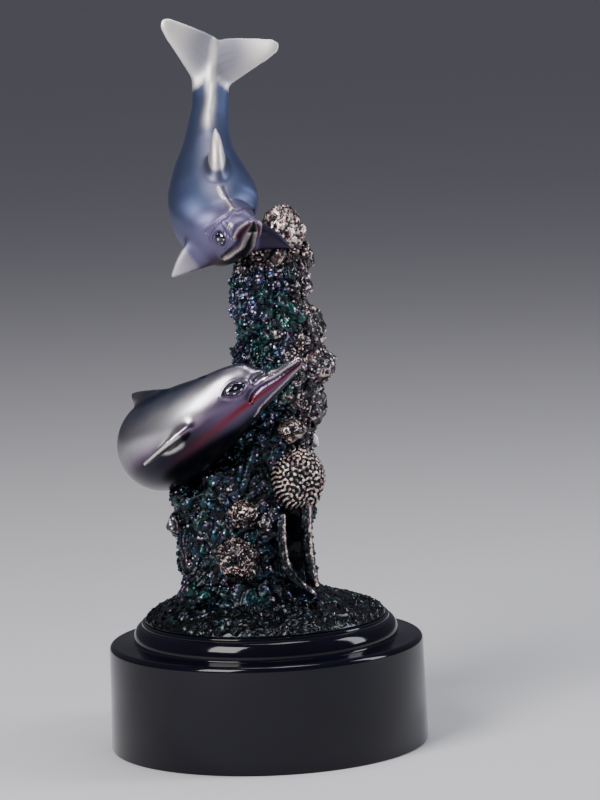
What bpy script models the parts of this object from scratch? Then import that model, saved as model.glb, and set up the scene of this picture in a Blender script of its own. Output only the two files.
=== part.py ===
"""Dolphin sculpture: two dolphins and a coral column, cast as one, on a turned black plinth.

Metres, +Z up. The origin is the middle of the plinth's underside, and the front of the piece faces -Y.
The casting is laid out in figure units: FIGURE_HEIGHT is divided into MASTER_HEIGHT of them, so that its
pose and carving stay shares of its own height. Its points are (x, y, height above its foot) in units.
"""

import math

import bmesh
import bpy
import numpy as np

for leftover in list(bpy.data.objects):
    bpy.data.objects.remove(leftover)

# Plinth: a turned drum with a ledge and a moulding round its top
PLINTH_DIAMETER = 0.127
PLINTH_FLARE = 0.0007
DRUM_HEIGHT = 0.0434
RIM_ROUND = 0.0022
FOOT_ROUND = 0.0008
LEDGE_WIDTH = 0.0092
MOULDING_HEIGHT = 0.0084
MOULDING_WIDTH = 0.0042
FILLET_WIDTH = 0.0007
PLINTH_SIDES = 48
ARC_STEPS = 3

# Casting
FIGURE_HEIGHT = 0.2405
MASTER_HEIGHT = 240.5
SEAT_GAP = 0.0003
MOUND_MARGIN = 0.0016

# Dolphins: angles are degrees round a section from the animal's right side, with its back at 90
MOUTH_ANGLE_AT_TIP = -2.0
DIVER_MOUTH_CORNER = -30.0
RISER_MOUTH_CORNER = -8.0
MOUTH_HALF_WIDTH = 7.0
MOUTH_DEPTH = 0.14
MOUTH_FADE = 4.0
MOUTH_START = 2.0
DIVER_MOUTH_LENGTH = 15.0
RISER_MOUTH_LENGTH = 22.0
DIVER_EYE = (4.9, -9.0)
RISER_EYE = (7.1, 18.0)
DIVER_EYE_SIZE = (3.3, 2.8, 1.2)
RISER_EYE_SIZE = (4.7, 2.7, 1.3)
DIVER_KEEL = (0.62, 0.8, 2.0)
RISER_KEEL = (0.72, 0.86, 1.6)
KEEL_SPREAD = 16.0
KEEL_AT_FLUKES = 0.8
SECTION_ANGLES = 14
LENS_ANGLES = np.radians(np.arange(0, 360, 45))
BODY_STEP = 5.2
FIN_STATIONS = 8
FLUKE_STATIONS = 17
ROD_STEP = 5.0
ROD_SIDES = 7

# Dolphin rows are x, y, height, half width, rise to the back and drop to the belly, from snout to tail;
# the directions of the back follow at shares of the length
DIVER_ROWS = [
    (1.2, -40.0, 162.2, 2.6, 1.6, 1.8),
    (0.4, -36.5, 161.0, 4.0, 2.5, 3.4),
    (-0.8, -32.0, 159.4, 4.9, 3.2, 4.8),
    (-2.0, -28.0, 158.0, 5.8, 4.2, 6.0),
    (-3.2, -25.5, 157.3, 6.9, 7.2, 7.2),
    (-4.8, -21.5, 157.4, 8.8, 9.4, 10.2),
    (-7.4, -16.5, 158.7, 11.4, 9.8, 15.2),
    (-11.2, -11.0, 160.9, 14.8, 10.4, 20.2),
    (-13.6, -5.5, 165.3, 17.6, 11.4, 24.8),
    (-14.4, 1.4, 170.2, 18.0, 12.2, 22.8),
    (-15.7, 12.2, 178.7, 14.6, 11.5, 16.5),
    (-15.9, 23.0, 186.9, 10.7, 10.5, 10.5),
    (-15.2, 32.0, 196.5, 8.5, 8.3, 8.0),
    (-14.1, 38.0, 204.8, 7.6, 6.5, 6.5),
    (-13.9, 41.0, 210.5, 7.7, 4.4, 4.4),
    (-13.6, 42.2, 215.0, 8.2, 2.9, 2.7),
    (-12.8, 42.8, 221.0, 6.5, 1.8, 1.4),
]
DIVER_BACKS = [(0.0, (0.0, -0.15, 1.0)), (0.35, (0.0, -0.3, 1.0)), (0.7, (0.0, -1.0, 0.7)),
               (1.0, (0.0, -1.0, 0.2))]
RISER_ROWS = [
    (18.2, -30.0, 106.9, 1.2, 0.8, 1.4),
    (16.0, -30.5, 105.6, 2.2, 1.6, 2.9),
    (12.7, -31.0, 103.8, 3.1, 2.2, 4.2),
    (7.9, -31.5, 100.9, 4.0, 3.1, 6.0),
    (3.1, -31.0, 98.5, 5.0, 6.2, 8.0),
    (-0.1, -30.5, 97.1, 5.9, 9.6, 9.6),
    (-2.5, -30.0, 96.2, 6.8, 10.9, 10.8),
    (-5.3, -29.5, 94.8, 8.2, 11.8, 11.8),
    (-9.8, -28.0, 92.3, 10.4, 12.7, 13.4),
    (-15.8, -25.0, 88.3, 13.2, 14.0, 15.0),
    (-24.1, -19.0, 82.5, 16.5, 16.5, 17.5),
    (-32.8, -9.0, 75.7, 18.8, 18.8, 19.2),
    (-37.7, 3.0, 71.2, 19.3, 19.0, 19.0),
    (-38.0, 16.0, 69.0, 17.5, 17.5, 17.5),
    (-30.5, 28.0, 68.5, 14.0, 13.5, 13.5),
    (-19.0, 33.5, 70.0, 11.0, 10.5, 10.5),
    (-8.0, 33.0, 73.5, 8.6, 8.0, 8.0),
    (0.0, 30.0, 77.5, 7.4, 5.5, 6.0),
    (5.0, 28.2, 80.0, 7.8, 2.8, 2.8),
    (10.0, 27.0, 82.0, 6.0, 1.6, 1.6),
]
RISER_BACKS = [(0.0, (-0.56, 0.0, 0.83)), (0.45, (-0.6, 0.0, 0.8)), (0.62, (-0.85, 0.3, 0.6)),
               (0.8, (-0.3, 1.0, 0.3)), (1.0, (0.25, 1.0, 0.1))]

# The column's rows are height, middle x, middle y, half width and half depth
COLUMN_ROWS = [
    (14, -6.0, 0.0, 26.5, 23.0),
    (25, -7.0, 0.0, 26.5, 22.5),
    (40, -6.5, 0.0, 28.0, 21.5),
    (52, -7.0, 0.5, 29.0, 20.5),
    (60, -3.5, 0.5, 25.5, 19.5),
    (70, 0.5, 0.5, 20.5, 18.5),
    (82, 5.0, 0.5, 19.0, 17.5),
    (95, 8.5, 0.5, 17.5, 16.5),
    (108, 10.0, 0.5, 17.0, 16.0),
    (118, 9.5, 0.0, 16.5, 15.5),
    (128, 6.5, -0.5, 14.5, 14.5),
    (138, 7.5, -1.0, 15.0, 14.0),
    (146, 8.5, -1.0, 13.5, 12.5),
    (153, 9.5, -1.0, 11.5, 11.0),
]
MOUND_HEIGHT = 14.0
MOUND_STEPS = 6
COLUMN_AROUND = 28
COLUMN_RISE = 5.0
BROAD_BUMP = 1.25
BROAD_PITCH = 21.0
FINE_BUMP = 0.9
FINE_PITCH = 11.0

PLINTH_RADIUS = PLINTH_DIAMETER / 2
PLINTH_TOP = DRUM_HEIGHT + MOULDING_HEIGHT
TOP_RADIUS = PLINTH_RADIUS - LEDGE_WIDTH - MOULDING_WIDTH
FIGURE_FOOT = PLINTH_TOP + SEAT_GAP
UNIT = FIGURE_HEIGHT / MASTER_HEIGHT
MOUND_RADIUS = (TOP_RADIUS - MOUND_MARGIN) / UNIT


# Meshes

def material(name, colour, metallic, roughness):
    """A plain Principled material."""
    made = bpy.data.materials.new(name)
    made.use_nodes = True
    shader = made.node_tree.nodes["Principled BSDF"]
    shader.inputs["Base Color"].default_value = (*colour, 1.0)
    shader.inputs["Metallic"].default_value = metallic
    shader.inputs["Roughness"].default_value = roughness
    made.diffuse_color = (*colour, 1.0)
    return made


def lofted(name, rings, start=None, end=None):
    """A closed body through rings of equally many points, shut by a point at an end or by a flat face."""
    rings = np.asarray(rings, float)
    around = rings.shape[1]
    mesh = bmesh.new()
    grid = [[mesh.verts.new(p) for p in ring] for ring in rings]
    for low, high in zip(grid, grid[1:]):
        for i in range(around):
            j = (i + 1) % around
            mesh.faces.new((low[i], low[j], high[j], high[i]))
    for ring, tip in ((grid[0][::-1], start), (grid[-1], end)):
        if tip is None:
            mesh.faces.new(ring)
            continue
        point = mesh.verts.new(tip)
        for i in range(around):
            mesh.faces.new((ring[i], ring[(i + 1) % around], point))
    if mesh.calc_volume(signed=True) < 0:
        bmesh.ops.reverse_faces(mesh, faces=mesh.faces)
    data = bpy.data.meshes.new(name)
    mesh.to_mesh(data)
    mesh.free()
    made = bpy.data.objects.new(name, data)
    bpy.context.collection.objects.link(made)
    return made


def combine(target, tools, operation="UNION"):
    """Joins closed bodies to the target, or cuts them from it, one after another."""
    for tool in tools:
        cut = target.modifiers.new(operation.lower(), "BOOLEAN")
        cut.operation = operation
        cut.solver = "EXACT"
        cut.object = tool
        bpy.context.view_layer.update()
        graph = bpy.context.evaluated_depsgraph_get()
        result = bpy.data.meshes.new_from_object(target.evaluated_get(graph))
        target.modifiers.remove(cut)
        target.data = result
        bpy.data.objects.remove(tool)
    return target


def finish(made, surface, sharp_degrees):
    """Gives a finished piece its material and its smooth shading."""
    made.data.materials.clear()
    made.data.materials.append(surface)
    made.data.shade_smooth()
    made.data.set_sharp_from_angle(angle=math.radians(sharp_degrees))


# Curves and frames

def placed(points):
    """Figure units to metres."""
    return np.asarray(points, float) * UNIT + (0.0, 0.0, FIGURE_FOOT)


def smooth(rows, step):
    """A smooth curve through rows of numbers, about a step between points.

    Each stretch is a cubic whose slopes come from the neighbouring rows. The last column is the row number.
    """
    rows = np.column_stack([np.asarray(rows, float), np.arange(len(rows))])
    chords = np.linalg.norm(np.diff(rows[:, :3], axis=0), axis=1)
    at = np.concatenate([[0.0], np.cumsum(chords)])
    slopes = np.gradient(rows, at, axis=0)
    made = []
    for i, length in enumerate(chords):
        pieces = max(1, round(length / step))
        for t in np.arange(pieces) / pieces:
            made.append((2 * t**3 - 3 * t**2 + 1) * rows[i] + (t**3 - 2 * t**2 + t) * length * slopes[i]
                        + (3 * t**2 - 2 * t**3) * rows[i + 1] + (t**3 - t**2) * length * slopes[i + 1])
    made.append(rows[-1])
    return np.array(made)


def normalised(vectors):
    return vectors / np.linalg.norm(vectors, axis=-1, keepdims=True)


def waves(points, length, seed):
    """A smooth bumpy field between about -1 and 1: a sum of plane waves in seeded directions."""
    random = np.random.RandomState(seed)
    directions = normalised(random.normal(size=(14, 3))) * random.uniform(0.7, 1.5, (14, 1))
    phases = random.uniform(0, 2 * math.pi, 14)
    return np.sin(points @ directions.T * (2 * math.pi / length) + phases).sum(-1) / 4.0


# Dolphins

def body_frames(stations, backs):
    """Tangent, back and right-side directions along a body; backs are (share of length, direction)."""
    points = stations[:, :3]
    tangents = normalised(np.gradient(points, axis=0))
    run = np.concatenate([[0.0], np.cumsum(np.linalg.norm(np.diff(points, axis=0), axis=1))])
    shares = [share for share, _ in backs]
    hints = np.stack([np.interp(run / run[-1], shares, [d[k] for _, d in backs]) for k in range(3)], axis=1)
    back = normalised(hints - (hints * tangents).sum(1, keepdims=True) * tangents)
    return tangents, back, np.cross(back, tangents), run


def section_angles(mouth):
    """Angles round a section, in radians: three at each mouth line, the rest spread evenly.

    mouth is the line's angle in degrees. The second result marks the two points in the mouth's groove.
    """
    line = np.array([-MOUTH_HALF_WIDTH, 0.0, MOUTH_HALF_WIDTH])
    over = SECTION_ANGLES // 2 + 1
    back = np.linspace(mouth + MOUTH_HALF_WIDTH, 180.0 - mouth - MOUTH_HALF_WIDTH, over + 2)[1:-1]
    belly = np.linspace(180.0 - mouth + MOUTH_HALF_WIDTH, 360.0 + mouth - MOUTH_HALF_WIDTH, over - 2)[1:-1]
    degrees = np.concatenate([mouth + line, back, 180.0 - mouth + line, belly])
    groove = np.isin(np.arange(len(degrees)), (1, 3 + len(back) + 1))
    return np.radians(degrees), groove


def dolphin_body(name, rows, backs, mouth_length, mouth_corner, keel):
    """A body of oval sections: rows are x, y, height, half width, rise to the back and drop to the belly.

    A groove runs along each side of the snout as the mouth. A keel stands along the back of the tail: it is
    (share of length where it starts, share where it is full, height).
    """
    stations = smooth(rows, BODY_STEP)
    tangents, back, right, run = body_frames(stations, backs)
    rings = []
    for i, (x, y, z, half, rise, drop) in enumerate(stations[:, :6]):
        mouth = np.interp(run[i], (0.0, mouth_length), (MOUTH_ANGLE_AT_TIP, mouth_corner))
        angles, in_groove = section_angles(mouth)
        tall = np.where(np.sin(angles) > 0, rise, drop)
        across = half * np.cos(angles)
        high = tall * np.sin(angles)
        fade = min(1.0, max(0.0, (mouth_length - run[i]) / MOUTH_FADE)) * min(1.0, run[i] / MOUTH_START)
        groove = 1.0 - MOUTH_DEPTH * fade * in_groove
        ridge = keel[2] * np.exp(-(((np.degrees(angles) - 90.0) / KEEL_SPREAD) ** 2))
        ridge = ridge * np.interp(run[i] / run[-1], [keel[0], keel[1], 1.0], [0.0, 1.0, KEEL_AT_FLUKES])
        up = (high + ridge) * groove
        rings.append((x, y, z) + (across * groove)[:, None] * right[i] + up[:, None] * back[i])
    tip = stations[0, :3] - tangents[0] * rows[0][3] * 0.8
    end = stations[-1, :3] + tangents[-1] * 0.5
    return lofted(name, placed(rings), placed(tip), placed(end))


def surface_point(rows, backs, row, degrees):
    """A point on a body's skin, at a row's number and an angle, with its outward and forward directions."""
    stations = smooth(rows, BODY_STEP / 8)
    tangents, back, right, _ = body_frames(stations, backs)
    i = int(np.argmin(np.abs(stations[:, 6] - row)))
    a = math.radians(degrees)
    half, rise, drop = stations[i, 3:6]
    tall = rise if math.sin(a) > 0 else drop
    point = stations[i, :3] + right[i] * half * math.cos(a) + back[i] * tall * math.sin(a)
    outward = normalised(right[i] * math.cos(a) * tall + back[i] * math.sin(a) * half)
    return point, outward, -tangents[i]


def eye(name, rows, backs, row, degrees, size):
    """A low almond-shaped bulge on the head; size is half length, half height and stand-off."""
    centre, outward, forward = surface_point(rows, backs, row, degrees)
    forward = normalised(forward - outward * (forward @ outward))
    across = np.cross(outward, forward)
    centre = centre - outward * size[2] * 0.35
    polar = np.radians([-60, -20, 20, 60])
    long, tall, deep = forward * size[0], across * size[1], outward * size[2]
    rings = [[centre + math.cos(p) * (long * math.cos(a) + tall * math.sin(a)) + deep * math.sin(p)
              for a in LENS_ANGLES] for p in polar]
    return lofted(name, placed(rings), placed(centre - deep), placed(centre + deep))


def blade(name, spine, chord_direction, chords, thickness):
    """A fin: a lens section carried along a bowed line of three points, with a rounded, tapering outline."""
    a, b, c = (np.array(p, float) for p in spine)
    share = np.linspace(0.0, 1.0, FIN_STATIONS) ** 0.85
    s = share[:, None]
    line = (1 - s) ** 2 * a + 2 * s * (1 - s) * b + s**2 * c
    along = normalised(np.gradient(line, axis=0))
    chord = normalised(np.array(chord_direction, float))
    normal = normalised(np.cross(along, chord))
    width = (chords[0] + (chords[1] - chords[0]) * share) * np.sqrt(np.clip(1.0 - share**5, 0.2, 1)) / 2
    deep = (thickness[0] + (thickness[1] - thickness[0]) * share) / 2
    rings = (line[:, None] + chord * (width[:, None] * np.cos(LENS_ANGLES))[..., None]
             + normal[:, None] * (deep[:, None] * np.sin(LENS_ANGLES))[..., None])
    return lofted(name, placed(rings), placed(line[0]), placed(line[-1] + along[-1] * chords[1] * 0.2))


def flukes(name, root, axis, normal, half_span, cup):
    """The tail fin: a lens section carried from tip to tip, swept back, with a notch between lobes.

    The leading and trailing edges are shares of the half span, measured along the axis from the root.
    """
    axis = normalised(np.array(axis, float))
    normal = np.array(normal, float)
    normal = normalised(normal - axis * (normal @ axis))
    lateral = np.cross(axis, normal)
    even = np.linspace(-1.0, 1.0, FLUKE_STATIONS)
    u = np.sign(even) * np.abs(even) ** 0.9
    a = np.abs(u)
    stock = 0.3
    lobe = np.clip((a - stock) / (1.0 - stock), 0.0, 1.0)
    lead = (0.74 - 0.70 * (1.0 - lobe) ** 1.15 - 1.25 * np.clip(stock - a, 0.0, 1.0)) * half_span
    trail = (0.79 + 0.21 * a**0.6) * half_span
    blunt = np.clip((1.0 - a) / 0.14, 0.0, 1.0) ** 0.5
    middle = (lead + trail) / 2
    chord = (trail - lead) / 2 * (0.4 + 0.6 * blunt)
    deep = (0.096 - 0.05 * a) * half_span * (0.4 + 0.6 * blunt)
    origin = np.array(root, float)
    rings = [origin + lateral * u[i] * half_span + normal * cup * a[i] ** 2
             + axis * (middle[i] + chord[i] * np.cos(LENS_ANGLES))[:, None]
             + normal * (deep[i] * np.sin(LENS_ANGLES))[:, None] for i in range(FLUKE_STATIONS)]
    return lofted(name, placed(rings))


# Coral

def lump(name, centre, radii, seed, rough=0.10, around=10, rows=6):
    """A knob of coral: an ellipsoid with a bumpy skin."""
    polar = np.linspace(-90, 90, rows + 1)[1:-1]
    angles = np.radians(np.arange(around) * 360.0 / around)
    ring = np.array([[(math.cos(math.radians(p)) * math.cos(a), math.cos(math.radians(p)) * math.sin(a),
                       math.sin(math.radians(p))) for a in angles] for p in polar])
    ring = ring * (1.0 + rough * waves(ring, 1.1, seed))[..., None]
    centre, radii = np.array(centre, float), np.array(radii, float)
    pole = (0.0, 0.0, radii[2])
    return lofted(name, placed(centre + ring * radii), placed(centre - pole), placed(centre + pole))


def rod(name, points, radii):
    """A rib or branch of coral: round sections along a smooth line."""
    line = smooth([(*p, r) for p, r in zip(points, radii)], ROD_STEP)
    along = normalised(np.gradient(line[:, :3], axis=0))
    first = normalised(np.cross(along, (0.3, 1.0, 0.2)))
    second = np.cross(along, first)
    angles = np.arange(ROD_SIDES) * 2 * math.pi / ROD_SIDES
    cosines, sines = np.cos(angles)[:, None], np.sin(angles)[:, None]
    rings = [line[i, :3] + line[i, 3] * (cosines * first[i] + sines * second[i]) for i in range(len(line))]
    return lofted(name, placed(rings), placed(line[0, :3] - along[0] * radii[0] * 0.6),
                  placed(line[-1, :3] + along[-1] * radii[-1] * 0.6))


def column(name):
    """The coral column and the mound at its foot, as one stack of bumpy rings."""
    rows = np.array(COLUMN_ROWS, float)
    mound = np.linspace(0.0, MOUND_HEIGHT, MOUND_STEPS, endpoint=False)
    above = np.arange(MOUND_HEIGHT, rows[-1, 0] + 0.1, COLUMN_RISE)
    heights = np.concatenate([mound, above])
    cells = [np.interp(heights, rows[:, 0], rows[:, k]) for k in range(1, 5)]
    spread = np.where(heights < MOUND_HEIGHT, np.cos(heights / MOUND_HEIGHT * math.pi / 2) ** 2, 0.0)
    middle_x, middle_y = cells[0] * (1 - spread), cells[1] * (1 - spread)
    half_x = cells[2] + (MOUND_RADIUS - cells[2]) * spread
    half_y = cells[3] + (MOUND_RADIUS - cells[3]) * spread
    angles = np.arange(COLUMN_AROUND) * 2 * math.pi / COLUMN_AROUND
    smooth_skin = np.stack([middle_x[:, None] + half_x[:, None] * np.cos(angles),
                            middle_y[:, None] + half_y[:, None] * np.sin(angles),
                            np.repeat(heights[:, None], COLUMN_AROUND, 1)], axis=-1)
    bumps = BROAD_BUMP * waves(smooth_skin, BROAD_PITCH, 5)
    bumps += FINE_BUMP * np.abs(waves(smooth_skin, FINE_PITCH, 9))
    calm = np.clip(heights / MOUND_HEIGHT, 0.0, 1.0) ** 1.5
    outward = np.stack([np.cos(angles), np.sin(angles), np.zeros(COLUMN_AROUND)], axis=-1)
    rings = smooth_skin + (bumps * calm[:, None])[..., None] * outward
    return lofted(name, placed(rings))


def coral_knobs():
    """The knobs, domes and cups that stand out from the column, top to bottom."""
    knobs = [
        ((12.7, -4.0, 155.5), (8.6, 9.0, 10.5), 0.12),
        ((19.5, 0.0, 144.0), (5.5, 7.0, 6.5), 0.12),
        ((18.5, -2.0, 134.0), (5.5, 7.0, 5.8), 0.12),
        ((19.5, -1.0, 117.0), (8.8, 10.0, 9.5), 0.10),
        ((22.5, -1.0, 101.5), (9.5, 10.0, 8.0), 0.10),
        ((21.5, -2.0, 85.0), (6.2, 9.0, 9.0), 0.12),
        ((13.1, -17.5, 77.3), (5.6, 6.0, 4.4), 0.06),
        ((-7.1, -21.5, 44.9), (5.6, 5.5, 5.6), 0.08),
        ((-10.0, -23.5, 27.0), (8.2, 6.5, 8.6), 0.10),
        ((-34.0, -3.0, 39.4), (3.4, 4.0, 4.2), 0.08),
        ((-27.0, -12.0, 12.5), (5.5, 5.0, 5.5), 0.10),
        ((0.0, 14.0, 118.0), (7.0, 5.5, 9.0), 0.10),
        ((12.0, 15.0, 56.0), (8.0, 7.0, 9.0), 0.10),
        ((0.9, -21.0, 40.2), (3.0, 3.5, 4.0), 0.08),
        ((-24.5, -20.0, 11.0), (5.5, 5.0, 4.0), 0.10),
    ]
    return [lump("knob", centre, radii, 20 + i, rough) for i, (centre, radii, rough) in enumerate(knobs)]


def coral_ribs():
    """The ribs each side of the deep hollow, the branching stalk on the left and the ridge by the dome."""
    return [
        rod("rib", [(7.7, -19.5, 44.0), (7.6, -21.0, 32.0), (9.5, -22.5, 22.0), (15.0, -23.5, 15.5),
                    (19.5, -22.5, 11.0)], (2.0, 2.2, 2.2, 2.0, 2.2)),
        rod("rib", [(18.0, -15.5, 50.0), (17.6, -17.0, 38.0), (18.2, -17.5, 26.0), (19.5, -16.0, 14.0)],
            (2.6, 2.4, 2.2, 2.6)),
        rod("stalk", [(-31.0, -6.0, 36.0), (-31.5, -9.5, 30.0), (-31.0, -10.0, 22.0), (-28.5, -8.0, 17.0)],
            (1.8, 1.5, 1.4, 1.6)),
        rod("ledge", [(9.5, -15.0, 131.5), (14.0, -16.0, 126.0), (19.5, -13.0, 120.5)], (1.8, 2.6, 2.2)),
        rod("ridge", [(-1.5, -19.0, 71.5), (-4.8, -20.5, 62.0), (-7.5, -20.5, 54.0)], (1.8, 2.0, 1.6)),
    ]


def diver():
    """The dolphin that dives over the top of the column, its back to the front and its snout turned out."""
    return [
        dolphin_body("diver", DIVER_ROWS, DIVER_BACKS, DIVER_MOUTH_LENGTH, DIVER_MOUTH_CORNER, DIVER_KEEL),
        eye("diver_eye", DIVER_ROWS, DIVER_BACKS, DIVER_EYE[0], DIVER_EYE[1], DIVER_EYE_SIZE),
        eye("diver_eye", DIVER_ROWS, DIVER_BACKS, DIVER_EYE[0], 180.0 - DIVER_EYE[1], DIVER_EYE_SIZE),
        flukes("diver_flukes", (-14.3, 42.0, 212.0), (0.235, 0.06, 0.97), (0.05, -1.0, 0.1), 24.6, 2.5),
        blade("diver_back_fin", [(-12.1, -2.0, 180.0), (-12.1, -8.0, 192.0), (-12.0, -1.0, 197.0)],
              (0.0, 0.8, 0.6), (18.0, 4.0), (8.5, 1.8)),
        blade("diver_right_fin", [(-13.0, -11.0, 154.0), (-24.5, -14.5, 147.0), (-31.6, -13.5, 140.0)],
              (0.56, 0.2, -0.8), (20.0, 5.5), (9.0, 1.8)),
        blade("diver_left_fin", [(-4.0, -9.0, 155.0), (7.0, -14.0, 155.5), (15.8, -13.0, 149.6)],
              (-0.1, 0.18, -1.0), (18.0, 4.0), (7.0, 1.8)),
    ]


def riser():
    """The dolphin that rises past the front of the column and curls its tail round behind it."""
    return [
        dolphin_body("riser", RISER_ROWS, RISER_BACKS, RISER_MOUTH_LENGTH, RISER_MOUTH_CORNER, RISER_KEEL),
        eye("riser_eye", RISER_ROWS, RISER_BACKS, RISER_EYE[0], RISER_EYE[1], RISER_EYE_SIZE),
        eye("riser_eye", RISER_ROWS, RISER_BACKS, RISER_EYE[0], 180.0 - RISER_EYE[1], RISER_EYE_SIZE),
        flukes("riser_flukes", (-1.5, 29.0, 78.0), (0.88, -0.2, 0.3), (0.25, 1.0, 0.1), 22.0, 2.5),
        blade("riser_back_fin", [(-40.0, -12.0, 90.0), (-45.5, -9.0, 94.0), (-49.5, 0.0, 92.0)],
              (0.58, -0.67, 0.4), (25.0, 5.0), (6.5, 1.8)),
        blade("riser_right_fin", [(-26.0, -32.0, 82.0), (-36.0, -36.0, 75.5), (-45.5, -29.0, 67.5)],
              (0.1, 1.0, -0.3), (11.0, 5.0), (4.4, 2.0)),
        blade("riser_left_fin", [(-20.0, -12.0, 66.0), (-20.0, -14.0, 58.0), (-24.0, -12.0, 50.0)],
              (0.6, 0.5, 0.4), (9.0, 3.0), (3.4, 1.6)),
    ]


def casting():
    """Column, knobs, ribs and both dolphins as one solid."""
    body = column("dolphins_and_coral")
    hollow = lump("hollow", (12.8, -21.5, 28.5), (3.9, 6.5, 14.0), 3, 0.04)
    combine(body, [hollow], "DIFFERENCE")
    dome = lump("dome", (14.6, -12.5, 57.0), (11.6, 11.5, 12.6), 4, 0.015, around=16, rows=9)
    combine(body, [*coral_knobs(), dome, *coral_ribs(), *riser(), *diver()])
    finish(body, material("cast_coral", (0.10, 0.16, 0.17), 0.75, 0.42), 40.0)
    return body


# Plinth

def quarter(centre, radii, start, stop):
    """Points of a quarter arc, angles in degrees from +X, in the plane of radius and height."""
    turns = np.radians(np.linspace(start, stop, ARC_STEPS + 1))
    return [(centre[0] + radii[0] * math.cos(a), centre[1] + radii[1] * math.sin(a)) for a in turns]


def plinth():
    """The drum, its rounded rim, the flat ledge and the ovolo that rises to the top."""
    foot_radius = PLINTH_RADIUS + PLINTH_FLARE
    ledge_radius = PLINTH_RADIUS - LEDGE_WIDTH
    fillet = ledge_radius - FILLET_WIDTH
    outline = [(TOP_RADIUS - FILLET_WIDTH, PLINTH_TOP)]
    outline += [(TOP_RADIUS, PLINTH_TOP - FILLET_WIDTH)]
    outline += quarter((TOP_RADIUS, DRUM_HEIGHT + FILLET_WIDTH),
                       (fillet - TOP_RADIUS, MOULDING_HEIGHT - 3 * FILLET_WIDTH), 90.0, 0.0)
    outline += [(fillet, DRUM_HEIGHT), (ledge_radius, DRUM_HEIGHT - FILLET_WIDTH / 2)]
    outline += quarter((PLINTH_RADIUS - RIM_ROUND, DRUM_HEIGHT - RIM_ROUND - FILLET_WIDTH / 2),
                       (RIM_ROUND, RIM_ROUND), 90.0, 0.0)
    outline += [(foot_radius, FOOT_ROUND), (foot_radius - FOOT_ROUND, 0.0)]
    angles = np.arange(PLINTH_SIDES) * 2 * math.pi / PLINTH_SIDES
    rings = [[(r * math.cos(a), r * math.sin(a), z) for a in angles] for r, z in outline]
    made = lofted("plinth", rings)
    finish(made, material("gloss_black", (0.012, 0.013, 0.022), 0.0, 0.12), 32.0)
    return made


plinth()
casting()
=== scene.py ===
"""Looks of a dolphin sculpture: plated dolphins on a patinated coral column over a turned black plinth.

Shapes are worked out in figure units (millimetres over the casting's foot) and put into metres at the end.
"""

import math

import bpy
import numpy as np
from mathutils import Matrix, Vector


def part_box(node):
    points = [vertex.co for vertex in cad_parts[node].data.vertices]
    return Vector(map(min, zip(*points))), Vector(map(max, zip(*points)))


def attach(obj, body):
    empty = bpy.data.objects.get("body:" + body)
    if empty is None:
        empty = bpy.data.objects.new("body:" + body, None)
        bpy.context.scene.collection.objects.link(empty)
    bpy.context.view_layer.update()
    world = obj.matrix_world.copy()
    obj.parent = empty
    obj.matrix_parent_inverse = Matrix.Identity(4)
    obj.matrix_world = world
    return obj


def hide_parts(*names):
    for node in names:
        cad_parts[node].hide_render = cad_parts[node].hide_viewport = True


bl_info = {
    "name": "Dolphin sculpture",
    "version": (1, 0, 0),
    "blender": (4, 5, 0),
    "location": "View3D > Sidebar > Sculpture",
    "description": "Builds the dolphins, the coral column and the turned plinth of a tabletop sculpture",
    "category": "Object",
}

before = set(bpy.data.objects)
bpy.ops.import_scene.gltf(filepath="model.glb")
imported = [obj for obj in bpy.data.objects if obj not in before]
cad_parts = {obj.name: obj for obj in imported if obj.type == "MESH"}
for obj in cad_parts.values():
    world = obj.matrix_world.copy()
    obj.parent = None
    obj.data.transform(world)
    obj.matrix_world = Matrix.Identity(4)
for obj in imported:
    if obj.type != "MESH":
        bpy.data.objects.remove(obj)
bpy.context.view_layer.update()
FOOT, CROWN = (corner.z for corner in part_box("dolphins_and_coral"))
MASTER_HEIGHT = 240.5
UNIT = (CROWN - FOOT) / MASTER_HEIGHT
TURN = 2.0 * math.pi


# Numbers over a surface

def normalised(vectors):
    """Each vector divided by its own length."""
    vectors = np.asarray(vectors, float)
    return vectors / np.maximum(np.linalg.norm(vectors, axis=-1, keepdims=True), 1e-9)


def round_angles(count):
    """So many angles, evenly round one turn."""
    return np.arange(count) * TURN / count


def grid(x, y, z):
    """Points from three arrays of numbers, stretched to one shape."""
    return np.stack(np.broadcast_arrays(x, y, z), axis=-1)


def lens(angles):
    """Height of a lens section: the sine taken to a power under one, so that both edges are round."""
    return np.sign(np.sin(angles)) * np.abs(np.sin(angles)) ** 0.7


def placed(points):
    """Figure units to metres: scaled, and lifted to the casting's foot."""
    return np.asarray(points, float) * UNIT + (0.0, 0.0, FOOT)


def bell(distance, width):
    """exp(-(distance / width)^2)."""
    return np.exp(-((distance / width) ** 2))


def ramp(value, low, high):
    """Smoothstep from 0 at low to 1 at high: t * t * (3 - 2 t)."""
    t = np.clip((value - low) / (high - low), 0.0, 1.0)
    return t * t * (3.0 - 2.0 * t)


def waves(points, length, seed, count=14):
    """Sum of sine waves in seeded directions, divided so that it stays between about -1 and 1."""
    random = np.random.RandomState(seed)
    directions = normalised(random.normal(size=(count, 3))) * random.uniform(0.7, 1.5, (count, 1))
    phases = random.uniform(0, TURN, count)
    return np.sin(points @ directions.T * (TURN / length) + phases).sum(-1) / 4.0


def labyrinth(u, v, length, seed, count=16):
    """Sum of plane waves of one length, evenly turned, with seeded phases: it wanders like a maze."""
    random = np.random.RandomState(seed)
    turns = (np.arange(count) + random.uniform(0, 0.6, count)) * math.pi / count
    phases = random.uniform(0, TURN, count)
    along = u[..., None] * np.cos(turns) + v[..., None] * np.sin(turns)
    return np.sin(along * (TURN / length) + phases).sum(-1) / math.sqrt(count)


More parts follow.
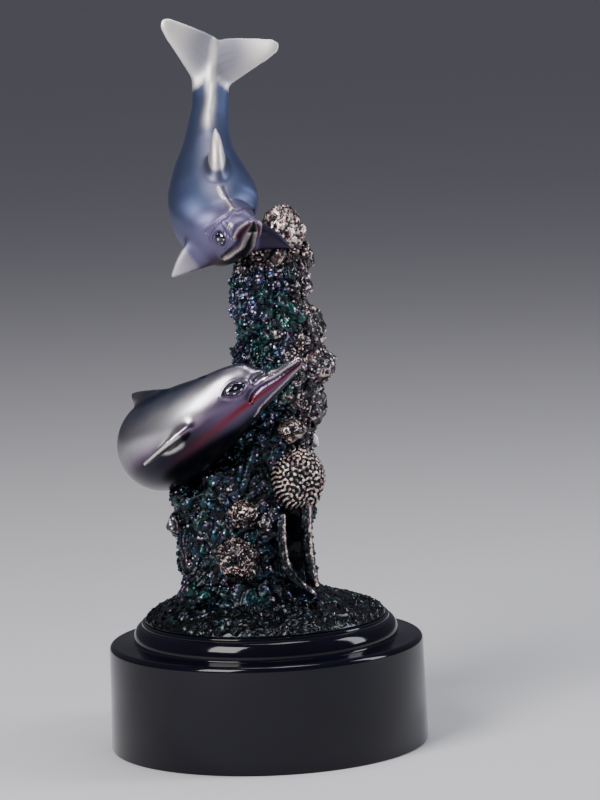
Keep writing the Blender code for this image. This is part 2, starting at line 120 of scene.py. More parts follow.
def hashed(cells, seed):
    """Three numbers from 0 to 1 for each whole-number cell: products with large primes, folded by shifts."""
    h = cells[..., 0] * 73856093 ^ cells[..., 1] * 19349663 ^ cells[..., 2] * 83492791 ^ (seed * 2654435761)
    out = []
    for salt in (1, 2, 3):
        k = (h ^ (salt * 0x9E3779B1)) & 0xFFFFFFFF
        k = ((k ^ (k >> 16)) * 0x45D9F3B) & 0xFFFFFFFF
        k = ((k ^ (k >> 16)) * 0x45D9F3B) & 0xFFFFFFFF
        out.append(((k ^ (k >> 16)) & 0xFFFF) / 65535.0)
    return np.stack(out, axis=-1)


def pebbles(points, size, seed):
    """Distances, in cells, to the nearest and second nearest of one seeded point per cubic cell."""
    scaled = points / size
    base = np.floor(scaled).astype(np.int64)
    first = np.full(points.shape[:-1], 9.0)
    second = first.copy()
    for dx in (-1, 0, 1):
        for dy in (-1, 0, 1):
            for dz in (-1, 0, 1):
                cell = base + (dx, dy, dz)
                far = np.linalg.norm(cell + hashed(cell, seed) - scaled, axis=-1)
                second = np.where(far < first, first, np.minimum(second, far))
                first = np.minimum(first, far)
    return first, second


# Meshes

def made(name, points, faces, sharp=None):
    """A mesh object from points in figure units and an array or list of faces, shaded smooth."""
    mesh = bpy.data.meshes.new(name)
    mesh.from_pydata(placed(points).tolist(), [], [list(map(int, f)) for f in faces])
    mesh.update()
    mesh.shade_smooth()
    if sharp is not None:
        mesh.set_sharp_from_angle(angle=math.radians(sharp))
    piece = bpy.data.objects.new(name, mesh)
    bpy.context.scene.collection.objects.link(piece)
    return piece


def outward(piece):
    """Turns a closed mesh's faces out if its signed volume, the sum of triangle volumes, is negative."""
    mesh = piece.data
    mesh.calc_loop_triangles()
    co = read_points(mesh)
    triangles = np.zeros(len(mesh.loop_triangles) * 3, np.int32)
    mesh.loop_triangles.foreach_get("vertices", triangles)
    a, b, c = (co[triangles.reshape(-1, 3)[:, k]] for k in range(3))
    if np.einsum("ij,ij->i", a - co.mean(0), np.cross(b - co.mean(0), c - co.mean(0))).sum() < 0:
        mesh.flip_normals()
    return piece


def read_points(mesh):
    """A mesh's points in metres."""
    co = np.zeros(len(mesh.vertices) * 3)
    mesh.vertices.foreach_get("co", co)
    return co.reshape(-1, 3)


def read_normals(mesh):
    """The outward direction at each point of a mesh."""
    mesh.update()
    normals = np.zeros(len(mesh.vertices) * 3)
    mesh.vertices.foreach_get("normal", normals)
    return normals.reshape(-1, 3)


def figure_points(mesh):
    """A mesh's points back in figure units."""
    return (read_points(mesh) - (0.0, 0.0, FOOT)) / UNIT


def write_points(mesh, points):
    """Puts points in figure units into a mesh."""
    mesh.vertices.foreach_set("co", placed(points).astype(np.float32).ravel())
    mesh.update()


def painted(piece, **values):
    """Stores one number per point under each name, for the materials to read."""
    for name, value in values.items():
        layer = piece.data.attributes.new(name, "FLOAT", "POINT")
        layer.data.foreach_set("value", np.asarray(value, np.float32).ravel())


def tube_faces(rows, around, first=0):
    """Quads of a grid of rings that closes on itself around, then a fan to a pole at each end."""
    i = np.arange(rows - 1)[:, None] * around
    j = np.arange(around)[None]
    k = (j + 1) % around
    quads = np.stack([i + j, i + k, i + around + k, i + around + j], axis=-1).reshape(-1, 4) + first
    low, high = rows * around + first, rows * around + 1 + first
    last = (rows - 1) * around + first
    ring = np.arange(around)
    after = (ring + 1) % around
    fan = [(first + b, first + a, low) for a, b in zip(ring, after)]
    fan += [(last + a, last + b, high) for a, b in zip(ring, after)]
    return quads.tolist() + fan


def tube_points(rings, start, end):
    """The grid's points in one list, with the two poles last."""
    return np.concatenate([np.asarray(rings).reshape(-1, 3), [start], [end]])


def capped(rings):
    """A tube's rings, with the middles of its first and last ring for poles."""
    return rings, rings[0].mean(0), rings[-1].mean(0)


def joined(name, parts, sharp=None):
    """Several closed tubes, each (rings, start, end), in one mesh."""
    points, faces, first = [], [], 0
    for rings, start, end in parts:
        rows, around = np.asarray(rings).shape[:2]
        points.append(tube_points(rings, start, end))
        faces += tube_faces(rows, around, first)
        first += rows * around + 2
    return made(name, np.concatenate(points), faces, sharp)


def fused(name, parts, voxel):
    """Closed tubes melted into one skin by a voxel remesh, each of whose cells is a share of a unit."""
    rough = joined(name, parts)
    melt = rough.modifiers.new("fuse", "REMESH")
    melt.mode = "VOXEL"
    melt.voxel_size = voxel * UNIT
    bpy.context.view_layer.update()
    mesh = bpy.data.meshes.new_from_object(rough.evaluated_get(bpy.context.evaluated_depsgraph_get()))
    bpy.data.objects.remove(rough)
    mesh.name = name
    piece = bpy.data.objects.new(name, mesh)
    bpy.context.scene.collection.objects.link(piece)
    return outward(piece)


def relaxed(mesh, points, weights, rounds):
    """Moves each point towards the mean of its neighbours by its weight, so many rounds over."""
    edges = np.zeros(len(mesh.edges) * 2, np.int32)
    mesh.edges.foreach_get("vertices", edges)
    a, b = edges.reshape(-1, 2).T
    count = len(points)
    ways = np.bincount(a, minlength=count) + np.bincount(b, minlength=count)
    for _ in range(rounds):
        total = np.stack([np.bincount(a, points[b, k], count) + np.bincount(b, points[a, k], count)
                          for k in range(3)], axis=-1)
        points = points + (total / ways[:, None] - points) * weights[:, None]
    return points


def kept(piece, slot, look, *nodes):
    """Rides on the casting's body, takes its look, and stands for the nodes named; its slot is not used."""
    piece.data.materials.clear()
    piece.data.materials.append(look)
    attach(piece, "root")
    if nodes:
        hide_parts(*nodes)


# Materials

class Wire:
    """A shader socket with the arithmetic that the looks use; each operation adds a node."""

    def __init__(self, looks, socket):
        self.looks = looks
        self.socket = socket

    def maths(self, operation, *values):
        return self.looks.node("ShaderNodeMath", {"operation": operation}, dict(enumerate(values)))

    def __add__(self, other):
        return self.maths("ADD", self, other)

    __radd__ = __add__

    def __sub__(self, other):
        return self.maths("SUBTRACT", self, other)

    def __rsub__(self, other):
        return self.maths("SUBTRACT", other, self)

    def __mul__(self, other):
        return self.maths("MULTIPLY", self, other)

    __rmul__ = __mul__

    def size(self):
        """The value without its sign."""
        return self.maths("ABSOLUTE", self)


class Looks:
    """One node-based material; node() adds any node and returns its first output, or the one named."""

    def __init__(self, name, **constants):
        self.material = bpy.data.materials.new(name)
        self.material.use_nodes = True
        self.tree = self.material.node_tree
        self.shader = self.tree.nodes["Principled BSDF"]
        for socket, value in constants.items():
            self.shader.inputs[socket.replace("_", " ")].default_value = value

    def node(self, kind, settings=None, sockets=None, output=0):
        made_node = self.tree.nodes.new(kind)
        for key, value in (settings or {}).items():
            if key == "stops":
                stops = made_node.color_ramp.elements
                while len(stops) < len(value):
                    stops.new(1.0)
                for stop, (at, colour) in zip(stops, value):
                    stop.position = at
                    stop.color = (*colour, 1.0)
            else:
                setattr(made_node, key, value)
        for key, value in (sockets or {}).items():
            self.link(made_node.inputs[key], value)
        return Wire(self, made_node.outputs[output])

    def link(self, socket, value):
        if isinstance(value, Wire):
            self.tree.links.new(value.socket, socket)
        else:
            socket.default_value = value

    def attribute(self, name):
        return self.node("ShaderNodeAttribute", {"attribute_name": name}, output="Fac")

    def place(self):
        return self.node("ShaderNodeTexCoord", output="Object")

    def noise(self, size, detail=3.0, roughness=0.55, stretch=None):
        """Noise whose features are about so many metres across."""
        where = self.place()
        if stretch:
            where = self.node("ShaderNodeMapping", None, {"Vector": where, "Scale": stretch})
        return self.node("ShaderNodeTexNoise", None,
                         {"Vector": where, "Scale": 1.0 / size, "Detail": detail, "Roughness": roughness})

    def ramp(self, value, stops):
        return self.node("ShaderNodeValToRGB", {"stops": stops}, {"Fac": value})

    def greys(self, value, low, first, high, last):
        """A ramp of greys: one grey at the low value, another at the high one."""
        return self.ramp(value, [(low, (first,) * 3), (high, (last,) * 3)])

    def mix(self, factor, a, b, blend="MIX"):
        picked = self.node("ShaderNodeMix", {"data_type": "RGBA", "blend_type": blend}, {0: factor})
        node = picked.socket.node
        for index, colour in ((6, a), (7, b)):
            self.link(node.inputs[index], colour if isinstance(colour, Wire) else (*colour, 1.0))
        return Wire(self, node.outputs[2])

    def bump(self, height, strength, distance):
        return self.node("ShaderNodeBump", None,
                         {"Height": height, "Strength": strength, "Distance": distance})

    def set(self, **sockets):
        for socket, value in sockets.items():
            self.link(self.shader.inputs[socket.replace("_", " ")], value)
        return self.material


def plating(name, tints_and_light, satin, sculpture):
    """Plated metal: airbrushed bands from belly to back with painted highlight, shade and reflection in
    them, mauve head, cream fins, a painted red reflection at the mouth, painted shade and painted
    highlights.
    """
    looks = Looks(name, Metallic=1.0, Coat_Weight=0.1, Coat_Roughness=0.25)
    drift = looks.noise(0.016, 2.0)
    speck = looks.noise(0.0006, 2.0)
    band = looks.attribute("band") + (drift - 0.5) * 0.08
    flank = looks.greys(band, 0.2, 0.0, 0.4, 1.0)
    # Bands: airbrushed tints, with a painted highlight on the flank or back and painted shade and reflection
    # towards the belly.
    body = looks.ramp(band, tints_and_light)
    body = looks.mix(looks.attribute("head") * flank * 0.75, body, tuple(sculpture.mauve))
    # Cream on the fins, partly a painted highlight, and a painted highlight along the back of the tail.
    body = looks.mix(looks.attribute("fin"), body, tuple(sculpture.cream))
    # Dark red at the mouth and jaw: a painted reflection.
    body = looks.mix(looks.attribute("mouth"), body, tuple(sculpture.mouth))
    # Painted shade: near black in the grooves, round the eyes, on shaded fins and in a band across the body.
    body = looks.mix(looks.attribute("crease"), body, (0.015, 0.012, 0.025))
    # Painted highlights on the lips, the blowhole and the jaw's rim.
    body = looks.mix(looks.attribute("shine"), body, tuple(sculpture.lips))
    rough = looks.attribute("shine") * -0.15 + speck * 0.06 + satin
    return looks.set(Base_Color=body, Roughness=rough, Normal=looks.bump(drift, 0.1, 0.0002))


def patina(name, sculpture, wet=False):
    """Cast coral: near black in the pits, teal, blue and violet between, cream and copper rubbed on top.

    The rubbed colour follows crests and worm-like lines, where a noise is close to its middle value. Painted
    glints, small round cells each of one hue, stand in for sparkles of light on the high points alone, and
    are few where a painted shade darkens the foot and the part under the riser.
    """
    looks = Looks(name, Metallic=0.75, Coat_Weight=0.4 if wet else 0.15, Coat_Roughness=0.12)
    grain = looks.noise(0.0009, 3.0)
    patch = looks.noise(0.010, 2.0)
    small = looks.noise(0.0032, 2.0)
    # Bronze, and a painted highlight on the column's lit right side and on the ribs' edges.
    bronze = looks.attribute("bronze")
    relief = looks.attribute("relief")
    # Painted shade on the lower column and under the riser: darker colour and fewer glints.
    quiet = looks.attribute("quiet")
    height = relief * 0.8 + (grain - 0.5) * 0.9
    deep = looks.mix(looks.greys(patch, 0.40, 0.0, 0.58, 1.0),
                     tuple(sculpture.coral_teal), tuple(sculpture.coral_blue))
    deep = looks.mix(looks.greys(small, 0.52, 0.0, 0.66, 1.0), deep, tuple(sculpture.coral_violet))
    deep = looks.mix(bronze * 0.8, deep, tuple(sculpture.coral_brown))
    lit = looks.greys(height - quiet * 0.15, 0.15, 0.0, 0.55, 1.0)
    colour = looks.mix(lit, (0.002, 0.004, 0.007), deep)
    top = looks.mix(looks.greys(small, 0.44, 0.0, 0.60, 1.0),
                    tuple(sculpture.coral_cream), tuple(sculpture.coral_copper))
    worm = (looks.noise(0.0042, 1.0, 0.4) - 0.5).size()
    line = looks.greys(worm, 0.012, 1.0, 0.045, 0.0)
    rubbed = height * 0.7 + bronze * 0.24 + line * 0.26 - quiet * 0.05
    rubbed = looks.greys(rubbed, 0.64, 0.0, 0.82, 1.0)
    colour = looks.mix(rubbed, colour, top)
    # Painted glints: small round cells of bright colour on the high points, standing in for sparkles of
    # light.
    cell = looks.node("ShaderNodeTexVoronoi", None, {"Vector": looks.place(), "Scale": 720.0}, "Color")
    reach = Wire(looks, cell.socket.node.outputs["Distance"])
    hue = looks.node("ShaderNodeSeparateColor", None, {"Color": cell}, "Red")
    pick = looks.node("ShaderNodeSeparateColor", None, {"Color": cell}, "Green")
    spot = looks.greys(reach, 0.26, 1.0, 0.44, 0.0)
    perch = relief + (patch - 0.5) * 1.3 + (small - 0.5) * 0.7 + pick * 0.25 - quiet * 0.16
    spot = spot * looks.greys(perch, 0.64, 0.0, 0.76, 1.0)
    glint = looks.ramp(hue, [(0.0, (0.35, 0.75, 0.85)), (0.3, (0.30, 0.45, 0.95)), (0.5, (0.90, 0.45, 0.62)),
                             (0.7, (0.95, 0.90, 0.95)), (1.0, (0.95, 0.80, 0.62))])
    glint = looks.mix(bronze, glint, tuple(sculpture.coral_cream))
    colour = looks.mix(spot, colour, glint)
    rough = grain * 0.35 + (0.06 if wet else 0.16)
    return looks.set(Base_Color=colour, Roughness=rough, Normal=looks.bump(grain, 0.55, 0.0005))


def eye_gloss():
    """Dark polished eye with painted glints round the iris and a painted catchlight, a small bright point,
    in it.
    """
    looks = Looks("eye_dark_gloss", Metallic=0.7, Coat_Weight=1.0, Coat_Roughness=0.03)
    eye_glint = looks.attribute("relief") + (looks.noise(0.0008, 1.0) - 0.5) * 0.5
    shade = looks.ramp(eye_glint, [(0.0, (0.012, 0.010, 0.03)), (0.45, (0.02, 0.02, 0.05)),
                               (0.75, (0.85, 0.85, 0.92))])
    return looks.set(Base_Color=shade, Roughness=looks.greys(eye_glint, 0.0, 0.06, 1.0, 0.25))


def lacquer(sculpture):
    """Polished black lacquer, slightly blue, with faint hand-rubbing marks."""
    looks = Looks("plinth_black_lacquer", Metallic=0.0, Specular_IOR_Level=0.3)
    cloud = looks.noise(0.03, 2.0)
    rub = looks.noise(0.0016, 3.0, 0.6, (1.0, 1.0, 6.0))
    colour = looks.mix(cloud, tuple(sculpture.plinth_colour), (0.0015, 0.0015, 0.004))
    return looks.set(Base_Color=colour, Roughness=looks.greys(rub, 0.3, 0.07, 0.8, 0.11),
                     Normal=looks.bump(rub, 0.015, 0.0001))


def paper_floor(colour):
    """Pale matt studio paper with a trace of tooth."""
    looks = Looks("studio_paper")
    tooth = looks.noise(0.002, 2.0)
    shade = looks.mix(looks.noise(0.6, 1.0), colour, tuple(c * 0.97 for c in colour))
    return looks.set(Base_Color=shade, Roughness=looks.greys(tooth, 0.0, 0.75, 1.0, 0.85))


# Curves

def curve(rows, step):
    """Cubics through rows of numbers, slopes from the neighbours; the last column is the row's number."""
    rows = np.column_stack([np.asarray(rows, float), np.arange(len(rows))])
    chords = np.linalg.norm(np.diff(rows[:, :3], axis=0), axis=1)
    slopes = np.gradient(rows, np.concatenate([[0.0], np.cumsum(chords)]), axis=0)
    parts = []
    for i, length in enumerate(chords):
        t = (np.arange(max(1, round(length / step))) / max(1, round(length / step)))[:, None]
        parts.append((2 * t**3 - 3 * t**2 + 1) * rows[i] + (t**3 - 2 * t**2 + t) * length * slopes[i]
                     + (3 * t**2 - 2 * t**3) * rows[i + 1] + (t**3 - t**2) * length * slopes[i + 1])
    return np.concatenate(parts + [rows[-1:]])


# Dolphins: rows are x, y, height, half width, rise to the back, drop to the belly, from snout to tail
DIVER_ROWS = [
    (1.2, -40.0, 162.2, 2.6, 1.6, 1.8),
    (0.4, -36.5, 161.0, 4.0, 2.5, 3.4),
    (-0.8, -32.0, 159.4, 4.9, 3.2, 4.8),
    (-2.0, -28.0, 158.0, 5.8, 4.2, 6.0),
    (-3.2, -25.5, 157.3, 6.9, 7.2, 7.2),
    (-4.8, -21.5, 157.4, 8.8, 9.4, 10.2),
    (-7.4, -16.5, 158.7, 11.4, 9.8, 15.2),
    (-11.2, -11.0, 160.9, 14.8, 10.4, 20.2),
    (-13.6, -5.5, 165.3, 17.6, 11.4, 24.8),
    (-14.4, 1.4, 170.2, 18.0, 12.2, 22.8),
    (-15.7, 12.2, 178.7, 14.6, 11.5, 16.5),
    (-15.9, 23.0, 186.9, 10.7, 10.5, 10.5),
    (-15.2, 32.0, 196.5, 8.5, 8.3, 8.0),
    (-14.1, 38.0, 204.8, 7.6, 6.5, 6.5),
    (-13.9, 41.0, 210.5, 7.7, 4.4, 4.4),
    (-13.6, 42.2, 215.0, 8.2, 2.9, 2.7),
    (-12.8, 42.8, 221.0, 6.5, 1.8, 1.4),
]
DIVER_BACKS = [(0.0, (0.0, -0.15, 1.0)), (0.35, (0.0, -0.3, 1.0)), (0.7, (0.0, -1.0, 0.7)),
               (1.0, (0.0, -1.0, 0.2))]
RISER_ROWS = [
    (18.2, -30.0, 106.9, 1.2, 0.8, 1.4),
    (16.0, -30.5, 105.6, 2.2, 1.6, 2.9),
    (12.7, -31.0, 103.8, 3.1, 2.2, 4.2),
    (7.9, -31.5, 100.9, 4.0, 3.1, 6.0),
    (3.1, -31.0, 98.5, 5.0, 6.2, 8.0),
    (-0.1, -30.5, 97.1, 5.9, 9.6, 9.6),
    (-2.5, -30.0, 96.2, 6.8, 10.9, 10.8),
    (-5.3, -29.5, 94.8, 8.2, 11.8, 11.8),
    (-9.8, -28.0, 92.3, 10.4, 12.7, 13.4),
    (-15.8, -25.0, 88.3, 13.2, 14.0, 15.0),
    (-24.1, -19.0, 82.5, 16.5, 16.5, 17.5),
    (-32.8, -9.0, 75.7, 18.8, 18.8, 19.2),
    (-37.7, 3.0, 71.2, 19.3, 19.0, 19.0),
    (-38.0, 16.0, 69.0, 17.5, 17.5, 17.5),
    (-30.5, 28.0, 68.5, 14.0, 13.5, 13.5),
    (-19.0, 33.5, 70.0, 11.0, 10.5, 10.5),
    (-8.0, 33.0, 73.5, 8.6, 8.0, 8.0),
    (0.0, 30.0, 77.5, 7.4, 5.5, 6.0),
    (5.0, 28.2, 80.0, 7.8, 2.8, 2.8),
    (10.0, 27.0, 82.0, 6.0, 1.6, 1.6),
]
RISER_BACKS = [(0.0, (-0.56, 0.0, 0.83)), (0.45, (-0.6, 0.0, 0.8)), (0.62, (-0.85, 0.3, 0.6)),
               (0.8, (-0.3, 1.0, 0.3)), (1.0, (0.25, 1.0, 0.1))]


# Plating from belly to back: place between 0 and 1, then colour
# Diver: the near-black belly is painted shade, the tan band a painted reflection, the paler back a painted
# highlight.
DIVER_TINTS_AND_LIGHT = [(0.0, (0.006, 0.008, 0.010)), (0.10, (0.02, 0.02, 0.02)), (0.15, (0.16, 0.12, 0.09)),
               (0.20, (0.13, 0.10, 0.16)), (0.30, (0.15, 0.14, 0.25)), (0.5, (0.13, 0.15, 0.27)),
               (0.7, (0.085, 0.11, 0.22)), (0.86, (0.085, 0.11, 0.21)), (1.0, (0.18, 0.18, 0.27))]
# Riser: the near-black belly is painted shade and the white band on the flank a painted highlight.
RISER_TINTS_AND_LIGHT = [(0.0, (0.006, 0.008, 0.016)), (0.40, (0.012, 0.014, 0.026)), (0.46, (0.04, 0.028, 0.05)),
               (0.52, (0.22, 0.16, 0.24)), (0.60, (0.62, 0.58, 0.64)), (0.68, (0.95, 0.94, 0.97)),
               (0.78, (0.95, 0.94, 0.97)), (0.85, (0.45, 0.48, 0.60)), (0.92, (0.13, 0.16, 0.28)),
               (1.0, (0.04, 0.05, 0.12))]
# Angle on the skin, then its place in the bands on the head and on the body
DIVER_LATITUDES = [(-90, 0.0, 0.0), (90, 1.0, 1.0)]
RISER_LATITUDES = [(-90, 0.0, 0.0), (-18, 0.42, 0.38), (-4, 0.48, 0.43), (10, 0.53, 0.55), (22, 0.57, 0.64),
                   (37, 0.63, 0.75), (52, 0.71, 0.81), (70, 0.80, 0.88), (90, 0.93, 1.0)]

# Both dolphins, in rows of the spine and degrees round it, 0 at the right side and 90 at the back.
# keel: shares of the length where the ridge starts and is full, and its height
# tail: root, axis, normal and half span; blades: line, chord direction, chords and thicknesses
# fin_paint: how pale (the pale cream partly a painted highlight, below zero painted shade), the first ring
# painted, and how far out the colour starts and is full
# fillets: middle and reach; eye: row and angle; dish: half axes and lid; ball: half axes and bulge
# grooves: marks, depth, width, lip and painted shade; lines: marks, width, painted highlight and rise
# the mouth's painted red reflection: rows where it fades and is gone, middle angle and spread; head: rows
# where it fades, and its share
# painted highlight along the back: rows where it starts and is full, and its width; shade: middle row,
# length and depth of a painted shade band
DIVER = {
    "rows": DIVER_ROWS, "backs": DIVER_BACKS, "keel": (0.62, 0.8, 2.0),
    "tints_and_light": DIVER_TINTS_AND_LIGHT, "latitudes": DIVER_LATITUDES, "satin": 0.50, "cell": 1.0,
    "tail": ((-14.3, 42.0, 212.0), (0.235, 0.06, 0.97), (0.05, -1.0, 0.1), 24.6),
    "blades": [
        ([(-12.1, -2.0, 180.0), (-12.1, -8.0, 192.0), (-12.0, -1.0, 197.0)],
         (0.0, 0.8, 0.6), (18.0, 4.0), (8.5, 1.8)),
        ([(-13.0, -11.0, 154.0), (-24.5, -14.5, 147.0), (-31.6, -13.5, 140.0)],
         (0.56, 0.2, -0.8), (20.0, 5.5), (9.0, 1.8)),
        ([(-4.0, -9.0, 155.0), (7.0, -14.0, 155.5), (15.8, -13.0, 149.6)],
         (-0.1, 0.18, -1.0), (18.0, 4.0), (7.0, 1.8)),
    ],
    "fin_paint": [(1.0, 0, 7.0, 20.0), (0.95, 12, 2.0, 8.0), (0.7, 24, 12.0, 24.0), (-0.85, 18, 2.0, 8.0)],
    "fillets": [((-14.0, 41.5, 214.0), 9.0), ((-12.5, -6.0, 182.0), 8.0), ((-20.0, -11.0, 150.0), 12.0),
                ((1.0, -10.0, 154.0), 8.0)],
    "eye": (4.9, -9.0), "dish": (3.4, 2.9, 0.35), "ball": (3.1, 2.7, 1.2),
    "middle_grooves": [([(6.0, 3.0), (4.7, 47.0), (4.5, 96.0), (7.2, 181.0)], 0.25, 0.6, 0.15, 0.3),
                       ([(8.0, 100.0), (6.7, 99.0), (5.2, 87.0)], 0.5, 0.5, 0.0, 0.9)],
    "side_grooves": [([(0.0, -30.0), (1.6, -36.0), (2.8, -44.0), (4.2, -52.0), (5.4, -58.0)],
                      1.1, 0.9, 0.4, 0.9),
                     ([(4.4, 37.0), (3.2, 24.0)], 0.3, 0.4, 0.2, 0.6),
                     ([(2.8, -27.0), (3.4, -14.0), (4.0, 8.0)], 0.3, 0.4, 0.2, 0.5)],
    "middle_lines": [([(8.0, 93.0), (6.7, 92.0), (5.2, 79.0)], 0.95, 1.0, 0.7)],
    "side_lines": [([(1.0, -73.0), (4.4, -65.0), (5.6, -63.0)], 0.65, 0.9, 0.5),
                   ([(0.0, -2.0), (1.6, -4.0), (2.8, -22.0)], 0.55, 0.95, 0.4),
                   ([(3.6, 40.0), (3.2, 34.0)], 0.7, 0.9, 0.4)],
    "mouth": (2.2, 2.9, -32.0, 14.0), "head": (5.0, 7.8, 0.9), "back_highlight": (11.0, 11.8, 13.0),
    "shade": (9.5, 1.5, 0.15),
}
RISER = {
    "rows": RISER_ROWS, "backs": RISER_BACKS, "keel": (0.72, 0.86, 1.6),
    "tints_and_light": RISER_TINTS_AND_LIGHT, "latitudes": RISER_LATITUDES, "satin": 0.27, "cell": 1.1,
    "tail": ((-1.5, 29.0, 78.0), (0.88, -0.2, 0.3), (0.25, 1.0, 0.1), 22.0),
    "blades": [
        ([(-40.0, -12.0, 90.0), (-45.5, -9.0, 94.0), (-49.5, 0.0, 92.0)],
         (0.58, -0.67, 0.4), (25.0, 5.0), (6.5, 1.8)),
        ([(-26.0, -32.0, 82.0), (-36.0, -36.0, 75.5), (-45.5, -29.0, 67.5)],
         (0.1, 1.0, -0.3), (11.0, 5.0), (4.4, 2.0)),
        ([(-20.0, -12.0, 66.0), (-20.0, -14.0, 58.0), (-24.0, -12.0, 50.0)],
         (0.6, 0.5, 0.4), (9.0, 3.0), (3.4, 1.6)),
    ],
    "fin_paint": [(0.8, 0, 6.0, 18.0), (0.6, 14, 4.0, 12.0), (0.95, 12, 2.0, 14.0), (-0.9, 8, 1.0, 4.0)],
    "fillets": [((3.0, 29.0, 79.0), 8.0), ((-40.0, -11.0, 90.0), 8.0), ((-27.0, -32.0, 82.0), 5.0),
                ((-20.0, -13.0, 64.0), 5.0)],
    "eye": (7.1, 18.0), "dish": (4.9, 2.6, 0.4), "ball": (4.5, 2.3, 1.2),
    "middle_grooves": [([(4.6, 20.0), (3.5, 50.0), (3.3, 90.0), (3.5, 130.0), (4.6, 160.0)],
                        0.9, 0.9, 0.3, 0.75),
                       ([(8.8, 90.0), (8.4, 80.0)], 0.6, 0.55, 0.2, 0.8)],
    "side_grooves": [([(6.4, -22.0), (5.2, -10.0), (4.1, -3.0), (3.1, -4.0), (2.1, -4.0), (0.6, 0.0)],
                      0.9, 0.65, 0.3, 0.95),
                     ([(3.4, 34.0), (2.2, 40.0), (1.2, 50.0)], 0.3, 0.4, 0.2, 0.7)],
    "middle_lines": [],
    "side_lines": [([(3.7, 17.0), (2.6, 21.0), (1.4, 30.0), (0.2, 60.0)], 0.7, 1.0, 0.4),
                   ([(0.8, -47.0), (2.7, -43.0), (5.0, -50.0), (7.0, -60.0)], 0.4, 0.6, 0.3)],
    "mouth": (7.0, 11.5, -21.0, 8.0), "head": (7.5, 10.0, 0.8), "back_highlight": (15.0, 16.0, 10.0),
    "shade": (12.5, 1.6, 0.85),
}


class Swimmer:
    """A dolphin's spine: stations along it, with a tangent, a back and a right-side direction at each."""

    def __init__(self, rows, backs, keel, step=0.9):
        self.stations = curve(rows, step)
        self.keel = keel
        points = self.stations[:, :3]
        self.tangent = normalised(np.gradient(points, axis=0))
        self.run = np.concatenate([[0.0], np.cumsum(np.linalg.norm(np.diff(points, axis=0), axis=1))])
        share = self.run / self.run[-1]
        marks, ways = zip(*backs)
        hints = np.stack([np.interp(share, marks, way) for way in zip(*ways)], axis=1)
        self.back = normalised(hints - (hints * self.tangent).sum(1, keepdims=True) * self.tangent)
        self.right = np.cross(self.back, self.tangent)

    def skin(self, around=120):
        """Rings: centre + right * half * cos(a) + back * (rise or drop) * sin(a), with the tail's keel."""
        a = round_angles(around)
        half, rise, drop = (self.stations[:, k][:, None] for k in (3, 4, 5))
        start, full, height = self.keel
        ridge = height * np.interp(self.run / self.run[-1], [start, full, 1.0], [0.0, 1.0, 0.8])[:, None]
        across = half * np.cos(a)
        high = np.where(np.sin(a) > 0, rise, drop) * np.sin(a) + ridge * bell(np.degrees(a) - 90.0, 16.0)
        rings = (self.stations[:, None, :3] + across[..., None] * self.right[:, None]
                 + high[..., None] * self.back[:, None])
        start = self.stations[0, :3] - self.tangent[0] * self.stations[0, 3] * 0.8
        return rings, start, self.stations[-1, :3] + self.tangent[-1] * 0.5

    def on_skin(self, row, degrees):
        """Point, outward and forward direction at a row's number and an angle from the right side."""
        i = int(np.argmin(np.abs(self.stations[:, 6] - row)))
        a = math.radians(degrees)
        half = self.stations[i, 3]
        tall = self.stations[i, 4] if math.sin(a) > 0 else self.stations[i, 5]
        point = self.stations[i, :3] + self.right[i] * half * math.cos(a) + self.back[i] * tall * math.sin(a)
        flare = np.gradient(self.stations[:, 3], self.run)[i]
        out = normalised(self.right[i] * math.cos(a) * tall + self.back[i] * math.sin(a) * half)
        return point, normalised(out - self.tangent[i] * flare), -self.tangent[i]

    def line(self, marks, mirrored=False, count=60):
        """Points along a line on the skin through (row, angle) marks, mirrored to the left side if asked."""
        rows, angles = np.array(marks, float).T
        t = np.linspace(0.0, len(marks) - 1.0, count)
        at = zip(np.interp(t, np.arange(len(marks)), rows), np.interp(t, np.arange(len(marks)), angles))
        return np.array([self.on_skin(r, 180.0 - d if mirrored else d)[0] for r, d in at])

    def where(self, points):
        """For each point, its row's number and its angle over the side: -90 at the belly, 90 at the back."""
        thin = self.stations[::2]
        order = np.concatenate([((points[i:i + 20000, None] - thin[None, :, :3]) ** 2).sum(-1).argmin(1)
                                for i in range(0, len(points), 20000)]) * 2
        away = points - self.stations[order, :3]
        up = (away * self.back[order]).sum(1)
        side = (away * self.right[order]).sum(1)
        tall = np.where(up > 0, self.stations[order, 4], self.stations[order, 5])
        pace = np.gradient(self.stations[:, 6], self.run)
        row = self.stations[order, 6] + (away * self.tangent[order]).sum(1) * pace[order]
        return row, np.degrees(np.arctan2(up / tall, np.abs(side) / self.stations[order, 3]))


def blade(spine, chord_direction, chords, thickness, stations=46, around=40):
    """A fin: a lens section carried along a bowed line of three points.

    Its width is a straight taper times sqrt(1 - share^5), so that the tip is round.
    """
    a, b, c = (np.array(p, float) for p in spine)
    share = np.linspace(0.0, 1.0, stations) ** 0.85
    s = share[:, None]
    line = (1 - s) ** 2 * a + 2 * s * (1 - s) * b + s**2 * c
    along = normalised(np.gradient(line, axis=0))
    chord = normalised(chord_direction)
    normal = normalised(np.cross(along, chord))
    width = (chords[0] + (chords[1] - chords[0]) * share) * np.sqrt(np.clip(1.0 - share**5, 0.2, 1)) / 2
    deep = (thickness[0] + (thickness[1] - thickness[0]) * share) / 2
    t = round_angles(around)
    rings = (line[:, None] + chord * (width[:, None] * np.cos(t))[..., None]
             + normal[:, None] * (deep[:, None] * lens(t))[..., None])
    return rings, line[0], line[-1] + along[-1] * chords[1] * 0.2


